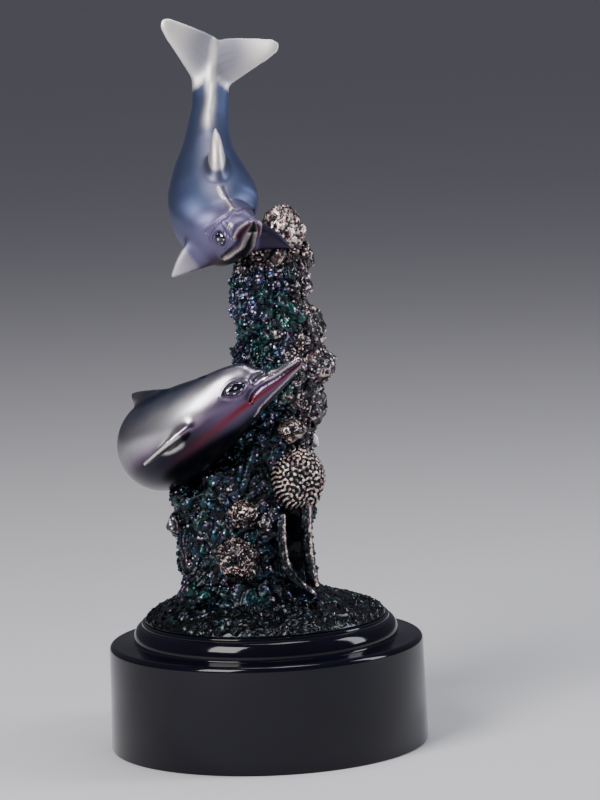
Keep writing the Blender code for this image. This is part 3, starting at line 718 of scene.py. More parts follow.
def flukes(root, axis, normal, half_span, cup=2.5, stations=121, around=40):
    """The tail fin: a lens section carried from tip to tip; its edges are shares of the half span."""
    axis = normalised(axis)
    normal = np.array(normal, float)
    normal = normalised(normal - axis * (normal @ axis))
    lateral = np.cross(axis, normal)
    even = np.linspace(-1.0, 1.0, stations)
    u = np.sign(even) * np.abs(even) ** 0.9
    a = np.abs(u)
    stock = 0.3
    lobe = np.clip((a - stock) / (1.0 - stock), 0.0, 1.0)
    lead = (0.74 - 0.70 * (1.0 - lobe) ** 1.15 - 1.25 * np.clip(stock - a, 0.0, 1.0)) * half_span
    trail = (0.79 + 0.21 * a**0.6) * half_span
    blunt = np.clip((1.0 - a) / 0.14, 0.0, 1.0) ** 0.5
    middle, chord = (lead + trail) / 2, (trail - lead) / 2 * (0.4 + 0.6 * blunt)
    deep = (0.096 - 0.05 * a) * half_span * (0.4 + 0.6 * blunt)
    t = round_angles(around)
    line = np.array(root, float) + lateral * (u * half_span)[:, None] + normal * (cup * a**2)[:, None]
    return capped(line[:, None] + axis * (middle[:, None] + chord[:, None] * np.cos(t))[..., None]
                  + normal * (deep[:, None] * lens(t))[..., None])


def near_line(points, line):
    """Distance from each point to the nearest mark of a line."""
    return np.sqrt(np.min([((points - p) ** 2).sum(1) for p in line], axis=0))


def strokes(swimmer, form, kind):
    """A form's grooves or lines, each with its points on the skin: those in the middle, then both sides'."""
    found = [(swimmer.line(marks), *numbers) for marks, *numbers in form["middle_" + kind]]
    for side in (False, True):
        found += [(swimmer.line(marks, side), *numbers) for marks, *numbers in form["side_" + kind]]
    return found


def eye_rings(places, dish, points, normals):
    """For each eye, every point's distance in the almond's half axes, and whether it is on that side."""
    long, tall, _ = dish
    for centre, out, forward in places:
        forward = normalised(forward - out * (forward @ out))
        across = np.cross(out, forward)
        away = points - centre
        along = away @ forward / long
        pinch = 1.0 - 0.3 * np.clip(np.abs(along), 0.0, 1.2) ** 2
        here = (np.abs(away @ out) < long) & (normals @ out > 0)
        yield np.sqrt(along**2 + (away @ across / (tall * pinch)) ** 2), here


def carved(mesh, swimmer, form, places):
    """Moves the points along their normals, and returns the painted shade and the painted highlights.

    Each groove is -depth * bell(distance / width), with a lip of the same form beside it and painted shade
    in it.
    Each eye is an almond: a dish inside it, a lid round it and two thin lines of painted shade. Each line of
    painted highlight is also a low ridge.
    """
    points = figure_points(mesh)
    normals = read_normals(mesh)
    move, crease, shine = np.zeros((3, len(points)))
    for line, depth, width, lip, dark in strokes(swimmer, form, "grooves"):
        far = near_line(points, line)
        move += lip * bell(far - 2.0 * width, width) - depth * bell(far, width)
        # Painted shade along each groove.
        crease = np.maximum(crease, dark * bell(far, width * 0.8))
    for ring, here in eye_rings(places, form["dish"], points, normals):
        move += here * (form["dish"][2] * bell(ring - 1.28, 0.2) - 0.4 * bell(ring, 0.8))
        # Painted shade: two thin dark lines round each eye's lid.
        lid_shade = np.maximum(bell(ring - 1.04, 0.08), 0.7 * bell(ring - 1.52, 0.05))
        crease = np.maximum(crease, here * 0.95 * lid_shade)
    for line, width, strength, rise in strokes(swimmer, form, "lines"):
        stroke = bell(near_line(points, line), width)
        # Painted highlight along each bright line.
        shine = np.maximum(shine, strength * stroke)
        move += rise * stroke
    write_points(mesh, points + normals * move[:, None])
    mesh.shade_smooth()
    return crease, shine


def fin_strokes(points, fins, paint):
    """For each fin, how strongly it colours each point: none off it, and full towards its tip. The colour is
    pale cream, partly a painted highlight, or painted shade where the paleness is below zero.
    """
    for (rings, *_), (pale, first, near, far) in zip(fins, paint):
        sample = rings[first::2, ::2].reshape(-1, 3)
        root = rings[0].mean(0) if first else sample.mean(0)
        stroke = np.zeros(len(points))
        here = np.flatnonzero(((points > sample.min(0) - 3.0) & (points < sample.max(0) + 3.0)).all(1))
        for part in np.array_split(here, len(here) // 6000 + 1):
            gap = np.sqrt(((points[part, None] - sample[None]) ** 2).sum(-1).min(1))
            out = 0.3 + 0.7 * ramp(np.linalg.norm(points[part] - root, axis=1), near, far)
            stroke[part] = abs(pale) * out * (1.0 - ramp(gap, 0.9, 3.0))
        yield pale > 0, stroke


def dolphin_paint(piece, swimmer, form, fins, crease, shine):
    """Stores where the bands, the head, the mouth's painted red reflection, the fins, the painted shade and
    the painted highlights are.

    The band is 0 at the belly and 1 at the back, by two tables of angles that blend behind the head.
    """
    points = figure_points(piece.data)
    row, angle = swimmer.where(points)
    latitudes, at_head, on_body = np.array(form["latitudes"]).T
    blend = ramp(row, 8.0, 10.0)
    band = np.interp(angle, latitudes, at_head) * (1 - blend) + np.interp(angle, latitudes, on_body) * blend
    fade, gone, middle, spread = form["mouth"]
    # Painted red reflection at the mouth and along the jaw.
    mouth = (1.0 - ramp(row, fade, gone)) * bell(angle - middle, spread)
    start, full, wide = form["back_highlight"]
    # Painted highlight: a pale streak along the back of the tail stock.
    fin = bell(angle - 90.0, wide) * ramp(row, start, full)
    for pale, stroke in fin_strokes(points, fins, form["fin_paint"]):
        if pale:
            fin = np.maximum(fin, stroke)
        else:
            # A fin with paleness below zero is darkened as painted shade.
            crease = np.maximum(crease, stroke)
    # Painted shade: a dark band across the body round the middle row.
    middle, length, depth = form["shade"]
    crease = np.maximum(crease, depth * bell(row - middle, length))
    fade, gone, share = form["head"]
    head = share * (1.0 - ramp(row, fade, gone))
    painted(piece, band=band, head=head, mouth=mouth, fin=fin, crease=crease, shine=shine)


def dolphin(name, short, form, sculpture):
    """Body and fins fused, joints relaxed to fillets, the face carved, the skin painted and the eyes set."""
    swimmer = Swimmer(form["rows"], form["backs"], form["keel"])
    fins = [flukes(*form["tail"]), *(blade(*fin) for fin in form["blades"])]
    row, angle = form["eye"]
    places = [swimmer.on_skin(row, side) for side in (angle, 180.0 - angle)]
    piece = fused(name, [swimmer.skin(), *fins], sculpture.voxel * form["cell"])
    points = figure_points(piece.data)
    near = np.max([bell(np.linalg.norm(points - centre, axis=1), reach)
                   for centre, reach in form["fillets"]], axis=0)
    points = relaxed(piece.data, points, np.full(len(points), 0.5), 8)
    write_points(piece.data, relaxed(piece.data, points, 0.6 * near, 60))
    crease, shine = carved(piece.data, swimmer, form, places)
    dolphin_paint(piece, swimmer, form, fins, crease, shine)
    look = plating(short + "_plating", form["tints_and_light"], form["satin"], sculpture)
    kept(piece, "dolphin_plating", look, "dolphins_and_coral")
    eyeballs(short + "_eyes", places, form["ball"])


def eyeballs(name, places, size):
    """Eyes: domes of rings; a polar angle's cosine gives the width and its sine the height."""
    polar = np.concatenate([np.linspace(-1.0, 0.05, 6), np.linspace(0.12, math.pi / 2 - 0.04, 20)])
    a = round_angles(40)
    # Painted glints round the iris and, near the dome's top, a painted catchlight.
    eye_glints = bell(polar - 0.62, 0.22)[:, None] * np.cos(a * 3.5 + 0.4) ** 4
    relief = np.maximum(eye_glints, bell(polar - 1.5, 0.14)[:, None])
    parts, painting = [], []
    for centre, out, forward in places:
        forward = normalised(forward - out * (forward @ out))
        across = np.cross(out, forward)
        centre = centre - out * size[2] * 0.3
        pinch = 1.0 - 0.3 * np.cos(a) ** 2
        rings = (centre + forward * (size[0] * np.cos(polar)[:, None] * np.cos(a))[..., None]
                 + across * (size[1] * np.cos(polar)[:, None] * np.sin(a) * pinch)[..., None]
                 + out * (size[2] * np.sin(polar)[:, None] * np.ones(len(a)))[..., None])
        parts.append((rings, centre - out * size[2], centre + out * size[2]))
        painting += [relief.ravel(), [0.0, 1.0]]
    piece = outward(joined(name, parts))
    painted(piece, relief=np.concatenate(painting))
    kept(piece, "dolphin_plating", eye_gloss())


# Coral: rows are height, middle x, middle y, half width, half depth
COLUMN_ROWS = [
    (14, -6.0, 0.0, 26.5, 23.0),
    (25, -7.0, 0.0, 26.5, 22.5),
    (40, -6.5, 0.0, 28.0, 21.5),
    (52, -7.0, 0.5, 29.0, 20.5),
    (60, -3.5, 0.5, 25.5, 19.5),
    (70, 0.5, 0.5, 20.5, 18.5),
    (82, 5.0, 0.5, 19.0, 17.5),
    (95, 8.5, 0.5, 17.5, 16.5),
    (108, 10.0, 0.5, 17.0, 16.0),
    (118, 9.5, 0.0, 16.5, 15.5),
    (128, 6.5, -0.5, 14.5, 14.5),
    (138, 7.5, -1.0, 15.0, 14.0),
    (146, 8.5, -1.0, 13.5, 12.5),
    (153, 9.5, -1.0, 11.5, 11.0),
]
COLUMN_TOP = 156.5
COLUMN_GRID = (316, 290)
# The mound: height, radius at the rim, and half width and half depth where it meets the column
MOUND_HEIGHT = 14.0
MOUND_RADIUS = 48.5
MOUND_NECK = (22.0, 18.5)
MOUND_GRID = (110, 420)
# Knobs: middle, half axes, and how brightly they are rubbed
KNOBS = [
    ((12.7, -4.0, 155.5), (8.6, 9.0, 10.5), 1.0),
    ((19.5, 0.0, 144.0), (5.5, 7.0, 6.5), 0.6),
    ((18.5, -2.0, 134.0), (5.5, 7.0, 5.8), 0.6),
    ((19.5, -1.0, 117.0), (8.8, 10.0, 9.5), 0.7),
    ((22.5, -1.0, 101.5), (9.5, 10.0, 8.0), 0.7),
    ((21.5, -2.0, 85.0), (6.2, 9.0, 9.0), 0.6),
    ((13.1, -17.5, 77.3), (5.6, 6.0, 4.4), 1.0),
    ((-7.1, -21.5, 44.9), (5.6, 5.5, 5.6), 1.0),
    ((-10.0, -23.5, 27.0), (8.2, 6.5, 8.6), 0.6),
    ((-34.0, -3.0, 39.4), (3.4, 4.0, 4.2), 0.8),
    ((-27.0, -12.0, 12.5), (5.5, 5.0, 5.5), 0.5),
    ((0.0, 14.0, 118.0), (7.0, 5.5, 9.0), 0.5),
    ((12.0, 15.0, 56.0), (8.0, 7.0, 9.0), 0.5),
    ((0.9, -21.0, 40.2), (3.0, 3.5, 4.0), 0.8),
    ((-24.5, -20.0, 11.0), (5.5, 5.0, 4.0), 0.5),
]
# The brain coral and the deep hollow beside the ribs: middle and half axes
DOME = ((14.6, -12.5, 57.0), (11.6, 11.5, 12.6))
HOLLOW = ((12.8, -21.5, 28.5), (3.9, 6.5, 14.0))
HOLLOW_EDGE = 1.35
DOME_FACING = (0.35, -0.9, 0.25)
DOME_MAZE = 2.1
DOME_GRID = (190, 280)
# Ribs: how sharp the edge is, and how strongly it is painted as a highlight, then x, y, height and radius
# along it
RIBS = [
    (1.0, [(7.7, -19.5, 44.0, 2.0), (7.6, -21.0, 32.0, 2.2), (9.5, -22.5, 22.0, 2.2),
           (15.0, -23.5, 15.5, 2.0), (19.5, -22.5, 11.0, 2.2)]),
    (1.0, [(18.0, -15.5, 50.0, 2.6), (17.6, -17.0, 38.0, 2.4), (18.2, -17.5, 26.0, 2.2),
           (19.5, -16.0, 14.0, 2.6)]),
    (0.9, [(-31.0, -6.0, 36.0, 1.8), (-31.5, -9.5, 30.0, 1.5), (-31.0, -10.0, 22.0, 1.4),
           (-28.5, -8.0, 17.0, 1.6)]),
    (0.2, [(9.5, -15.0, 131.5, 1.8), (14.0, -16.0, 126.0, 2.6), (19.5, -13.0, 120.5, 2.2)]),
    (0.3, [(-1.5, -19.0, 71.5, 1.8), (-4.8, -20.5, 62.0, 2.0), (-7.5, -20.5, 54.0, 1.6)]),
]
# Knobs whose crags carry a maze, by their number, with the maze's length
MAZE_KNOBS = {6: 2.0, 7: 2.0, 8: 2.3}
KNOB_FACING = (0.1, -0.95, 0.2)
RIB_FACING = (0.6, -0.8, 0.1)
CRAG_SEED = 31


def crags(points, seed, depth, fine=1.0):
    """Coral relief in units, and its share of full height: crags, pits and nodules, each from cell noise."""
    f1, f2 = pebbles(points + 1.6 * waves(points, 9.0, seed)[..., None], 5.6, seed)
    g1, _ = pebbles(points, 2.6, seed + 7)
    n1, _ = pebbles(points, 1.35, seed + 3)
    crag = np.clip(1.0 - f1, 0.0, 1.0)
    pit = bell(f2 - f1, 0.16)
    knob = np.clip(1.0 - g1 * 1.2, 0.0, 1.0)
    nodule = np.clip(1.0 - n1 * 1.25, 0.0, 1.0) ** 0.7
    lift = depth * (1.5 * crag - 0.7 * pit + 0.9 * knob - 0.8) + fine * 0.42 * (nodule - 0.4)
    share = 0.38 * crag + 0.32 * knob + 0.42 * nodule - 0.30 * pit
    return lift, np.clip(share, 0.0, 1.0)


def column_skin(heights, angles):
    """Points of the column's skin, their bumps and their outward ways.

    A point is its row's middle + half width * cos, half depth * sin; the bumps are two sets of waves.
    """
    levels, *columns = np.array(COLUMN_ROWS, float).T
    middle_x, middle_y, half_x, half_y = (np.interp(heights, levels, column) for column in columns)
    skin = grid(middle_x + half_x * np.cos(angles), middle_y + half_y * np.sin(angles), heights)
    bumps = 1.25 * waves(skin, 21.0, 5) + 0.9 * np.abs(waves(skin, 11.0, 9))
    return skin, bumps, grid(np.cos(angles), np.sin(angles), 0.0)


def hollow_reach(skin):
    """Distance from the hollow's middle in its own half axes, seen from the front; 9 behind its face."""
    away = (skin - np.array(HOLLOW[0])) / (np.array(HOLLOW[1]) * 1.1)
    return np.where(skin[..., 1] < -8.0, np.sqrt(away[..., 0] ** 2 + away[..., 2] ** 2), 9.0)


def bronze_and_highlight_share(points):
    """Share of bronze and painted highlight: bronze on the craggy head, a painted highlight of the lit side
    on the column's right side; none at left and at the foot.
    """
    x, _, z = np.moveaxis(points, -1, 0)
    # The right side's share is a painted highlight where the light falls.
    right = ramp(x + 4.0 * waves(points, 11.0, 90), 9.0, 19.0) * ramp(z, 40.0, 60.0)
    return np.maximum(0.8 * right, ramp(z + 3.0 * waves(points, 12.0, 91), 136.0, 146.0))


def low_shade_share(points):
    """Share of painted shade, with few painted glints: full at the foot and under the riser, none above its
    head.
    """
    x, _, z = np.moveaxis(points, -1, 0)
    above = ramp(z + 6.0 * waves(points, 24.0, 92), 50.0, 95.0)
    return np.clip(1.0 - above - 0.3 * bell(x + 31.0, 7.0), 0.0, 1.0)


def coral_paint(piece, relief, bronze=None):
    """Stores a coral piece's relief, its share of bronze and painted highlight, and its share of painted
    shade, one number for each point.
    """
    points = figure_points(piece.data)
    painted(piece, relief=np.clip(relief, 0.0, 1.0), bronze=bronze_and_highlight_share(points) if bronze is None else bronze,
            quiet=low_shade_share(points))


def coral_mesh(name, parts, shares, bronze=None):
    """Closed tubes in one painted mesh; each tube's shares are its rings' numbers, then its poles'."""
    piece = outward(joined(name, parts))
    coral_paint(piece, np.concatenate(shares), None if bronze is None else np.concatenate(bronze))
    return piece


def ellipsoid(centre, radii, rows, around):
    """Grid of directions over a sphere and the ellipsoid's points: centre + radii * direction."""
    polar = np.linspace(-math.pi / 2, math.pi / 2, rows + 2)[1:-1, None]
    a = round_angles(around)
    ring = grid(np.cos(polar) * np.cos(a), np.cos(polar) * np.sin(a), np.sin(polar))
    return ring, np.array(centre) + ring * np.array(radii)


def column_piece(relief_depth):
    """The column: its skin, sunk in the deep hollow, then raised by the crags along its outward way."""
    rows, around = COLUMN_GRID
    heights = np.linspace(2.0, COLUMN_TOP - 0.5, rows)[:, None]
    skin, bumps, flat = column_skin(np.maximum(heights, MOUND_HEIGHT), round_angles(around))
    skin[..., 2] = heights
    sunk = ramp(HOLLOW_EDGE - hollow_reach(skin), 0.0, 0.6)
    lift, share = crags(skin, CRAG_SEED, relief_depth)
    flare = 6.0 * ramp(16.0 - heights, 0.0, 14.0)
    top = np.sqrt(np.clip((COLUMN_TOP - heights) / 8.0, 0.02, 1.0))
    rings = skin + (bumps + lift * (1.0 - 0.5 * sunk) - 7.5 * sunk + flare)[..., None] * flat
    middle = rings.mean(1, keepdims=True)
    rings[..., :2] = (middle + (rings - middle) * top[..., None])[..., :2]
    share = share * (1.0 - 0.75 * sunk)
    rings, start, end = capped(rings)
    return coral_mesh("coral_column", [(rings, start, end + (0.0, 0.0, 0.4))], [share.ravel(), [0.2, 0.6]])


def knob_pieces():
    """Knobs: ellipsoids raised by crags along their own directions, three of them with a broken maze."""
    parts, relief, bronze = [], [], []
    for i, (centre, radii, bright) in enumerate(KNOBS):
        size = max(radii)
        ring, skin = ellipsoid(centre, radii, int(14 + size * 4.5), int(24 + size * 8))
        lift, share = crags(skin, 40 + i, 0.55, 1.1)
        copper = 2.0 * bright - 1.0
        if i in MAZE_KNOBS:
            _, _, maze = maze_over(ring, KNOB_FACING, size, MAZE_KNOBS[i], 30 + i)
            crest = bell(maze + 0.5 * waves(skin, 3.0, 93), 0.42)
            lift, share = 0.5 * crest - 0.2 + 0.7 * lift, 0.75 * crest + 0.35 * share
            copper = 1.0
        skin = skin + ring * (0.6 * waves(skin, 7.0, 60 + i) + lift)[..., None]
        parts.append(capped(skin))
        relief += [np.clip(share + 0.3 * bright - 0.12, 0, 1).ravel(), [0.5, 0.5]]
        bronze += [np.maximum(bronze_and_highlight_share(skin), copper).ravel(), [0.5, 0.5]]
    return coral_mesh("coral_knobs", parts, relief, bronze)


def maze_over(ring, facing, radius, length, seed):
    """Polar angle and turn about a facing direction, and a maze laid flat over it.

    The maze's u and v are radius * polar angle, times the cosine and the sine of the turn.
    """
    facing = normalised(facing)
    polar = np.arccos(np.clip(ring @ facing, -1, 1))
    side = normalised(np.cross(facing, (0.0, 0.0, 1.0)))
    turn = np.arctan2(ring @ np.cross(side, facing), ring @ side)
    reach = polar * radius
    return polar, turn, labyrinth(reach * np.cos(turn), reach * np.sin(turn), length, seed)


def brain_piece(ridge):
    """The brain coral: an ellipsoid raised where a maze of plane waves of one length is over zero.

    The maze is laid flat over the pole that faces front, and gives way to long strokes round the rim.
    """
    centre, radii = DOME
    ring, skin = ellipsoid(centre, radii, *DOME_GRID)
    polar, turn, maze = maze_over(ring, DOME_FACING, 11.8, DOME_MAZE, 77)
    strokes = np.sin(turn * 36.0 + 1.5 * np.sin(polar * 9.0))
    blend = ramp(np.degrees(polar), 54.0, 70.0)
    crest = ramp(maze * (1 - blend) + strokes * blend, -0.3, 0.4)
    grain = np.clip(1.0 - pebbles(skin, 0.9, 5)[0], 0, 1)
    lift = ridge * (crest - 0.5) + 0.15 * grain + 0.6 * waves(skin, 12.0, 95) - 0.3
    lit = 0.75 + 0.25 * ramp(waves(skin + ring * lift[..., None], 14.0, 96), -0.4, 0.4)
    shade = np.clip(0.05 + lit * crest + 0.15 * grain, 0, 1)
    return coral_mesh("brain_coral", [capped(skin + ring * lift[..., None])], [shade.ravel(), [0.5, 0.5]],
                 [np.full(shade.size + 2, 0.9)])


def rib_pieces():
    """Ribs: round sections along a smooth line, with a sharpened outer edge, painted as a highlight, and
    nodules.
    """
    parts, relief, bronze = [], [], []
    a = round_angles(36)[:, None]
    for i, (sharp, line) in enumerate(RIBS):
        path = curve(line, 0.45)[:, None]
        along = normalised(np.gradient(path[:, 0, :3], axis=0))
        first = normalised(np.cross(along, (0.3, 1.0, 0.2)))
        second = np.cross(along, first)
        flat = np.cos(a) * first[:, None] + np.sin(a) * second[:, None]
        skin = path[..., :3] + path[..., 3:4] * flat
        lift, share = crags(skin, 70 + i, 0.4, 0.9)
        away = np.degrees(np.arccos(np.clip(flat @ normalised(RIB_FACING), -1, 1)))
        edge = sharp * bell(away, 26.0)
        skin = skin + flat * (lift * (1.0 - 0.9 * edge) + 0.5 * edge)[..., None]
        parts.append(capped(skin))
        # The sharpened edge is painted cream as a highlight, through relief and the bronze share.
        relief += [np.maximum(share * (1.0 - 0.5 * sharp), edge).ravel(), [0.5, 0.5]]
        bronze += [edge.ravel(), [0.0, 0.0]]
    return coral_mesh("coral_ribs", parts, relief, bronze)


def mound_piece():
    """The mound: height falls from the column's foot to the rim as cos^2, with ripples and droplets."""
    rows, around = MOUND_GRID
    a = round_angles(around)
    s = np.linspace(0.0, 1.0, rows)[:, None]
    spread = np.cos(s * math.pi / 2) ** 2
    half_x, half_y = (neck + (MOUND_RADIUS - neck) * spread for neck in MOUND_NECK)
    skin = grid(-6.0 * (1 - spread) + half_x * np.cos(a), half_y * np.sin(a), MOUND_HEIGHT * s)
    whirl = skin + 3.0 * waves(skin, 13.0, 14)[..., None]
    ripple = np.abs(waves(whirl * (1.0, 1.0, 0.3), 8.0, 12))
    drops = np.clip(1.0 - pebbles(skin, 2.6, 8)[0] * 1.7, 0.0, 1.0) ** 0.6 * (waves(skin, 9.0, 3) > 0.15)
    skin[..., 2] += ramp(s, 0.0, 0.10) * (1.0 - 1.6 * np.clip(ripple, 0.0, 1.0) + 0.7 * drops - 0.6)
    share = np.clip(0.42 - 0.9 * ripple + 0.6 * drops, 0.0, 1.0)
    under = skin[0] * (1.0, 1.0, 0.0)
    rings = np.concatenate([[under * (0.2, 0.2, 1.0)], [under * (0.999, 0.999, 1.0)], skin])
    share = np.concatenate([share[:1] * 0, share[:1], share])
    return coral_mesh("coral_mound", [capped(rings)], [share.ravel(), [0.0, 0.0]])


def grit_piece(count, size):
    """Nodules: small closed domes of four rings, strewn by seed over the column and turned with its skin."""
    random = np.random.RandomState(17)
    heights = random.uniform(9.0, 153.0, count)
    angles = random.uniform(0.0, TURN, count)
    skin, bumps, out = column_skin(np.clip(heights, MOUND_HEIGHT, 153.0), angles)
    lift, _ = crags(skin, CRAG_SEED, 1.0)
    keep = hollow_reach(skin) >= HOLLOW_EDGE
    centre = (skin + out * (bumps + lift)[:, None])[keep]
    centre[:, 2] = heights[keep]
    out = normalised(out[keep] + random.normal(0, 0.25, (keep.sum(), 3)))
    side = normalised(np.cross(out, (0.1, 0.2, 1.0)))
    up = np.cross(out, side)
    radius = size * random.uniform(0.45, 1.0, len(centre)) ** 1.3
    polar = np.array([-0.9, -0.2, 0.45, 1.05])
    levels = [0.05, 0.3, 0.75, 1.0]
    around = 6
    a = round_angles(around)
    ring = grid(np.cos(polar)[:, None] * np.cos(a), np.cos(polar)[:, None] * np.sin(a),
                np.sin(polar)[:, None] * 1.25)
    dome = np.concatenate([ring.reshape(-1, 3), [(0.0, 0.0, -1.0), (0.0, 0.0, 1.25)]])
    points = centre[:, None] + (dome * radius[:, None, None]) @ np.stack([side, up, out], axis=1)
    one = tube_faces(len(polar), around)
    faces = [[v + len(dome) * k for v in f] for k in range(len(centre)) for f in one]
    piece = outward(made("coral_nodules", points.reshape(-1, 3), faces))
    tone = random.uniform(0.25, 1.0, len(centre))
    level = np.concatenate([np.repeat(levels, around), [0.0, 1.0]])
    coral_paint(piece, (tone[:, None] * level).ravel())
    return piece


# Plinth

def plinth_piece(sculpture):
    """A turned profile of radius and height: drum, rounded rim, ledge, cove, ovolo, fillet and flat top."""
    low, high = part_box("plinth")
    radius = high.x / UNIT - 0.7
    top = (high.z - FOOT) / UNIT
    foot = (low.z - FOOT) / UNIT
    drum = top - 8.4
    ledge, crown = radius - 9.2, radius - 13.4
    quarter = np.radians(np.linspace(90.0, 0.0, 12))
    ovolo = [(crown + (ledge - 0.7 - crown) * math.cos(q), drum + 0.7 + 6.3 * math.sin(q)) for q in quarter]
    rim = [(radius - 2.2 + 2.2 * math.cos(q), drum - 2.55 + 2.2 * math.sin(q)) for q in quarter]
    outline = np.array([
        (0.5, top), (crown - 1.4, top), (crown - 0.7, top - 0.1), (crown - 0.2, top - 0.35),
        (crown, top - 0.9), *ovolo,
        (ledge - 0.7, drum + 0.25), (ledge - 0.55, drum - 0.1), (ledge, drum - 0.3), *rim,
        (radius + 0.7, foot + 0.8), (radius + 0.45, foot + 0.25), (radius - 0.1, foot), (0.5, foot)])
    a = round_angles(240)
    rings = grid(outline[:, :1] * np.cos(a), outline[:, :1] * np.sin(a), outline[:, 1:])
    piece = outward(joined("turned_plinth", [(rings, (0.0, 0.0, top), (0.0, 0.0, foot))], 28.0))
    kept(piece, "plinth_black", lacquer(sculpture), "plinth")


# Properties, operators and panel

def amount(name, note, default, low, high):
    """A setting that holds a length in units."""
    return bpy.props.FloatProperty(name=name, description=note, default=default, min=low, max=high)


def tint(name, note, default):
    """A setting that holds a colour."""
    return bpy.props.FloatVectorProperty(name=name, description=note, subtype="COLOR", default=default)


class SculptureSettings(bpy.types.PropertyGroup):
    """Sizes and colours of the finished sculpture."""

    voxel: amount("Skin cell", "Size of the dolphins' surface cells, in units", 0.5, 0.3, 2.0)
    relief_depth: amount("Crag depth", "Depth of the coral's crags, in units", 1.0, 0.0, 3.0)
    ridge_height: amount("Maze ridges", "Height of the brain coral's ridges, in units", 0.8, 0.0, 3.0)
    nodule_size: amount("Nodule size", "Largest coral nodule, in units", 0.95, 0.2, 3.0)
    nodule_count: bpy.props.IntProperty(name="Nodules", description="Nodules strewn over the column",
                                        default=3400, min=0, max=8000)
    mauve: tint("Mauve", "Airbrushed heads", (0.21, 0.16, 0.29))
    # Fin cream is partly a painted highlight on the fins.
    cream: tint("Fin cream", "Pale plating on the fins", (0.90, 0.86, 0.84))
    # Lips: painted highlights on the lips, the blowhole and the jaw's rim.
    lips: tint("Lips", "Rubbed lips and blowhole", (0.95, 0.84, 0.85))
    # Mouth: a painted red reflection at the mouth and jaw.
    mouth: tint("Mouth", "Dark red inside the lips", (0.16, 0.02, 0.03))
    coral_teal: tint("Coral teal", "Teal between the high points", (0.010, 0.095, 0.085))
    coral_blue: tint("Coral blue", "Deep blue patches", (0.014, 0.035, 0.10))
    coral_violet: tint("Coral violet", "Violet flecks", (0.12, 0.055, 0.16))
    coral_brown: tint("Coral brown", "Brown under the bronze", (0.10, 0.055, 0.06))
    coral_cream: tint("Coral cream", "Rubbed high points", (0.86, 0.76, 0.66))
    coral_copper: tint("Coral copper", "Copper high points", (0.60, 0.34, 0.32))
    plinth_colour: tint("Lacquer", "Plinth lacquer", (0.004, 0.004, 0.010))
    floor_colour: tint("Floor", "Studio paper", (0.66, 0.66, 0.70))


def settings():
    """The sculpture's settings in this scene."""
    return bpy.context.scene.sculpture


class SCULPTURE_OT_diver(bpy.types.Operator):
    """Builds the diving dolphin with its fins, face and eyes"""

    bl_idname = "sculpture.diver"
    bl_label = "Diving dolphin"

    def execute(self, context):
        dolphin("diving_dolphin", "diver", DIVER, settings())
        return {"FINISHED"}


class SCULPTURE_OT_riser(bpy.types.Operator):
    """Builds the rising dolphin with its fins, face and eyes"""

    bl_idname = "sculpture.riser"
    bl_label = "Rising dolphin"

    def execute(self, context):
        dolphin("rising_dolphin", "riser", RISER, settings())
        return {"FINISHED"}


class SCULPTURE_OT_coral(bpy.types.Operator):
    """Builds the coral column with its knobs, ribs, brain coral, mound and nodules"""

    bl_idname = "sculpture.coral"
    bl_label = "Coral column"

    def execute(self, context):
        sculpture = settings()
        pieces = {"column": column_piece(sculpture.relief_depth), "knob": knob_pieces(),
                  "rib": rib_pieces(), "brain": brain_piece(sculpture.ridge_height), "mound": mound_piece(),
                  "nodule": grit_piece(sculpture.nodule_count, sculpture.nodule_size)}
        for name, piece in pieces.items():
            look = patina(name + "_patina", sculpture, name == "mound")
            kept(piece, "coral_patina", look, "dolphins_and_coral")
        return {"FINISHED"}


class SCULPTURE_OT_plinth(bpy.types.Operator):
    """Turns the black plinth"""

    bl_idname = "sculpture.plinth"
    bl_label = "Plinth"

    def execute(self, context):
        plinth_piece(settings())
        return {"FINISHED"}


# Stage: each light's place and target in metres, its size, power and colour
LIGHTS = {
    "key": ((-0.70, -0.85, 0.90), (0.0, 0.0, 0.18), (0.6, 0.9), 25.0, (1.0, 0.97, 0.94)),
    "rim": ((0.90, -0.05, 0.50), (0.0, 0.0, 0.15), (0.25, 0.7), 6.0, (0.92, 0.95, 1.0)),
    "top": ((0.1, 0.1, 1.2), (0.0, 0.0, 0.15), (0.5, 0.4), 5.0, (1.0, 1.0, 1.0)),
}
AIR = (0.50, 0.50, 0.58, 1.0)
AIR_STRENGTH = 0.22
PAPER_REACH = 40.0
# Camera: place in metres, turn, tilt down and roll in degrees, and focal length in millimetres
CAMERA_PLACE = (0.0, -1.5, 0.326557)
CAMERA_TURNS = (0.6626, 7.1235, 2.2)
CAMERA_LENS = 169.296
FAR_CLIP = 100.0


def stood(name, data, place, side, up, back):
    """Hangs a light or a camera at a place, looking away from its back direction."""
    thing = bpy.data.objects.new(name, data)
    thing.matrix_world = Matrix([*([side[i], up[i], back[i], place[i]] for i in range(3)), (0, 0, 0, 1)])
    bpy.context.scene.collection.objects.link(thing)
    return thing


def soft_light(name, place, target, size, power, colour):
    """A rectangular soft light that faces its target."""
    lamp = bpy.data.lights.new(name, "AREA")
    lamp.shape = "RECTANGLE"
    lamp.size, lamp.size_y = size
    lamp.energy = power
    lamp.color = colour
    back = normalised(np.array(place) - target)
    side = normalised(np.cross((0.0, 0.0, 1.0), back))
    stood(name, lamp, place, side, np.cross(back, side), back)


def paper(colour):
    """Pale studio paper: one flat round sheet."""
    a = round_angles(64)
    edge = grid(PAPER_REACH * np.cos(a), PAPER_REACH * np.sin(a), 0.0)
    mesh = bpy.data.meshes.new("studio_paper")
    mesh.from_pydata(edge.tolist(), [], [[*range(len(a))]])
    mesh.materials.append(paper_floor(colour))
    sheet = bpy.data.objects.new("studio_paper", mesh)
    bpy.context.scene.collection.objects.link(sheet)


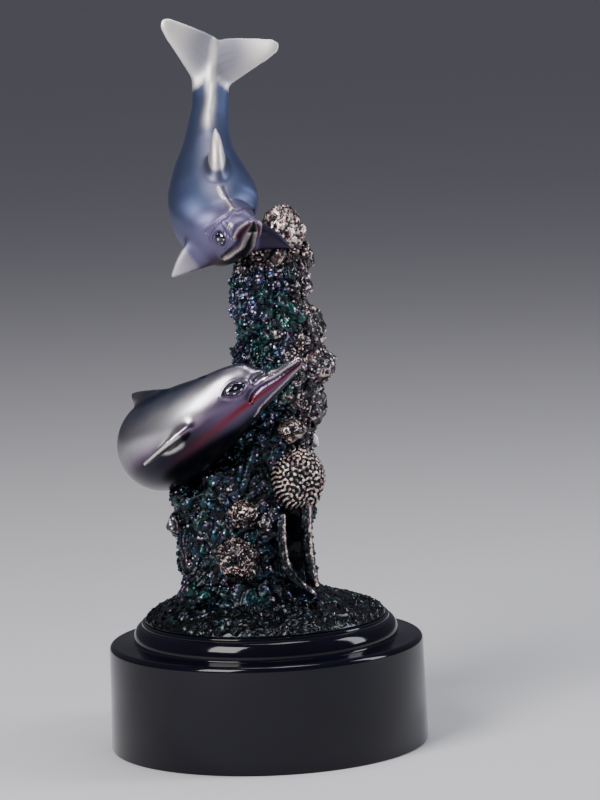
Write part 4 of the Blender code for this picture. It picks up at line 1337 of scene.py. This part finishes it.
def camera():
    """The photo's point of view: turned, tilted and rolled about its own place."""
    lens_data = bpy.data.cameras.new("camera")
    lens_data.sensor_fit = "VERTICAL"
    lens_data.sensor_height = 36.0
    lens_data.lens = CAMERA_LENS
    lens_data.clip_start, lens_data.clip_end = 0.05, FAR_CLIP
    turn, tilt, roll = np.radians(CAMERA_TURNS)
    ahead = np.array([math.sin(turn) * math.cos(tilt), math.cos(turn) * math.cos(tilt), -math.sin(tilt)])
    side = normalised(np.cross(ahead, (0.0, 0.0, 1.0)))
    up = np.cross(side, ahead)
    right = math.cos(roll) * side - math.sin(roll) * up
    over = math.sin(roll) * side + math.cos(roll) * up
    return stood("camera", lens_data, CAMERA_PLACE, right, over, -ahead)


class SCULPTURE_OT_stage(bpy.types.Operator):
    """Lays the pale studio paper, hangs the soft lights and places the camera"""

    bl_idname = "sculpture.stage"
    bl_label = "Stage"

    def execute(self, context):
        paper(tuple(settings().floor_colour))
        for name, light in LIGHTS.items():
            soft_light(name, *light)
        world = bpy.data.worlds.new("studio")
        world.use_nodes = True
        air = world.node_tree.nodes["Background"]
        air.inputs["Color"].default_value = AIR
        air.inputs["Strength"].default_value = AIR_STRENGTH
        context.scene.world = world
        context.scene.camera = camera()
        return {"FINISHED"}


class SCULPTURE_PT_panel(bpy.types.Panel):
    """Lists the sculpture's operators and settings"""

    bl_label = "Dolphin sculpture"
    bl_idname = "SCULPTURE_PT_panel"
    bl_space_type = "VIEW_3D"
    bl_region_type = "UI"
    bl_category = "Sculpture"

    def draw(self, context):
        for kind in OPERATORS:
            self.layout.operator(kind.bl_idname)
        for name in SculptureSettings.__annotations__:
            self.layout.prop(context.scene.sculpture, name)


OPERATORS = (SCULPTURE_OT_plinth, SCULPTURE_OT_coral, SCULPTURE_OT_riser, SCULPTURE_OT_diver,
             SCULPTURE_OT_stage)
CLASSES = (SculptureSettings, *OPERATORS, SCULPTURE_PT_panel)


def register():
    for kind in CLASSES:
        bpy.utils.register_class(kind)
    bpy.types.Scene.sculpture = bpy.props.PointerProperty(type=SculptureSettings)


def unregister():
    del bpy.types.Scene.sculpture
    for kind in reversed(CLASSES):
        bpy.utils.unregister_class(kind)


def main():
    """Builds every piece in order."""
    register()
    bpy.ops.sculpture.plinth()
    bpy.ops.sculpture.coral()
    bpy.ops.sculpture.riser()
    bpy.ops.sculpture.diver()
    bpy.ops.sculpture.stage()


if __name__ == "__main__":
    main()
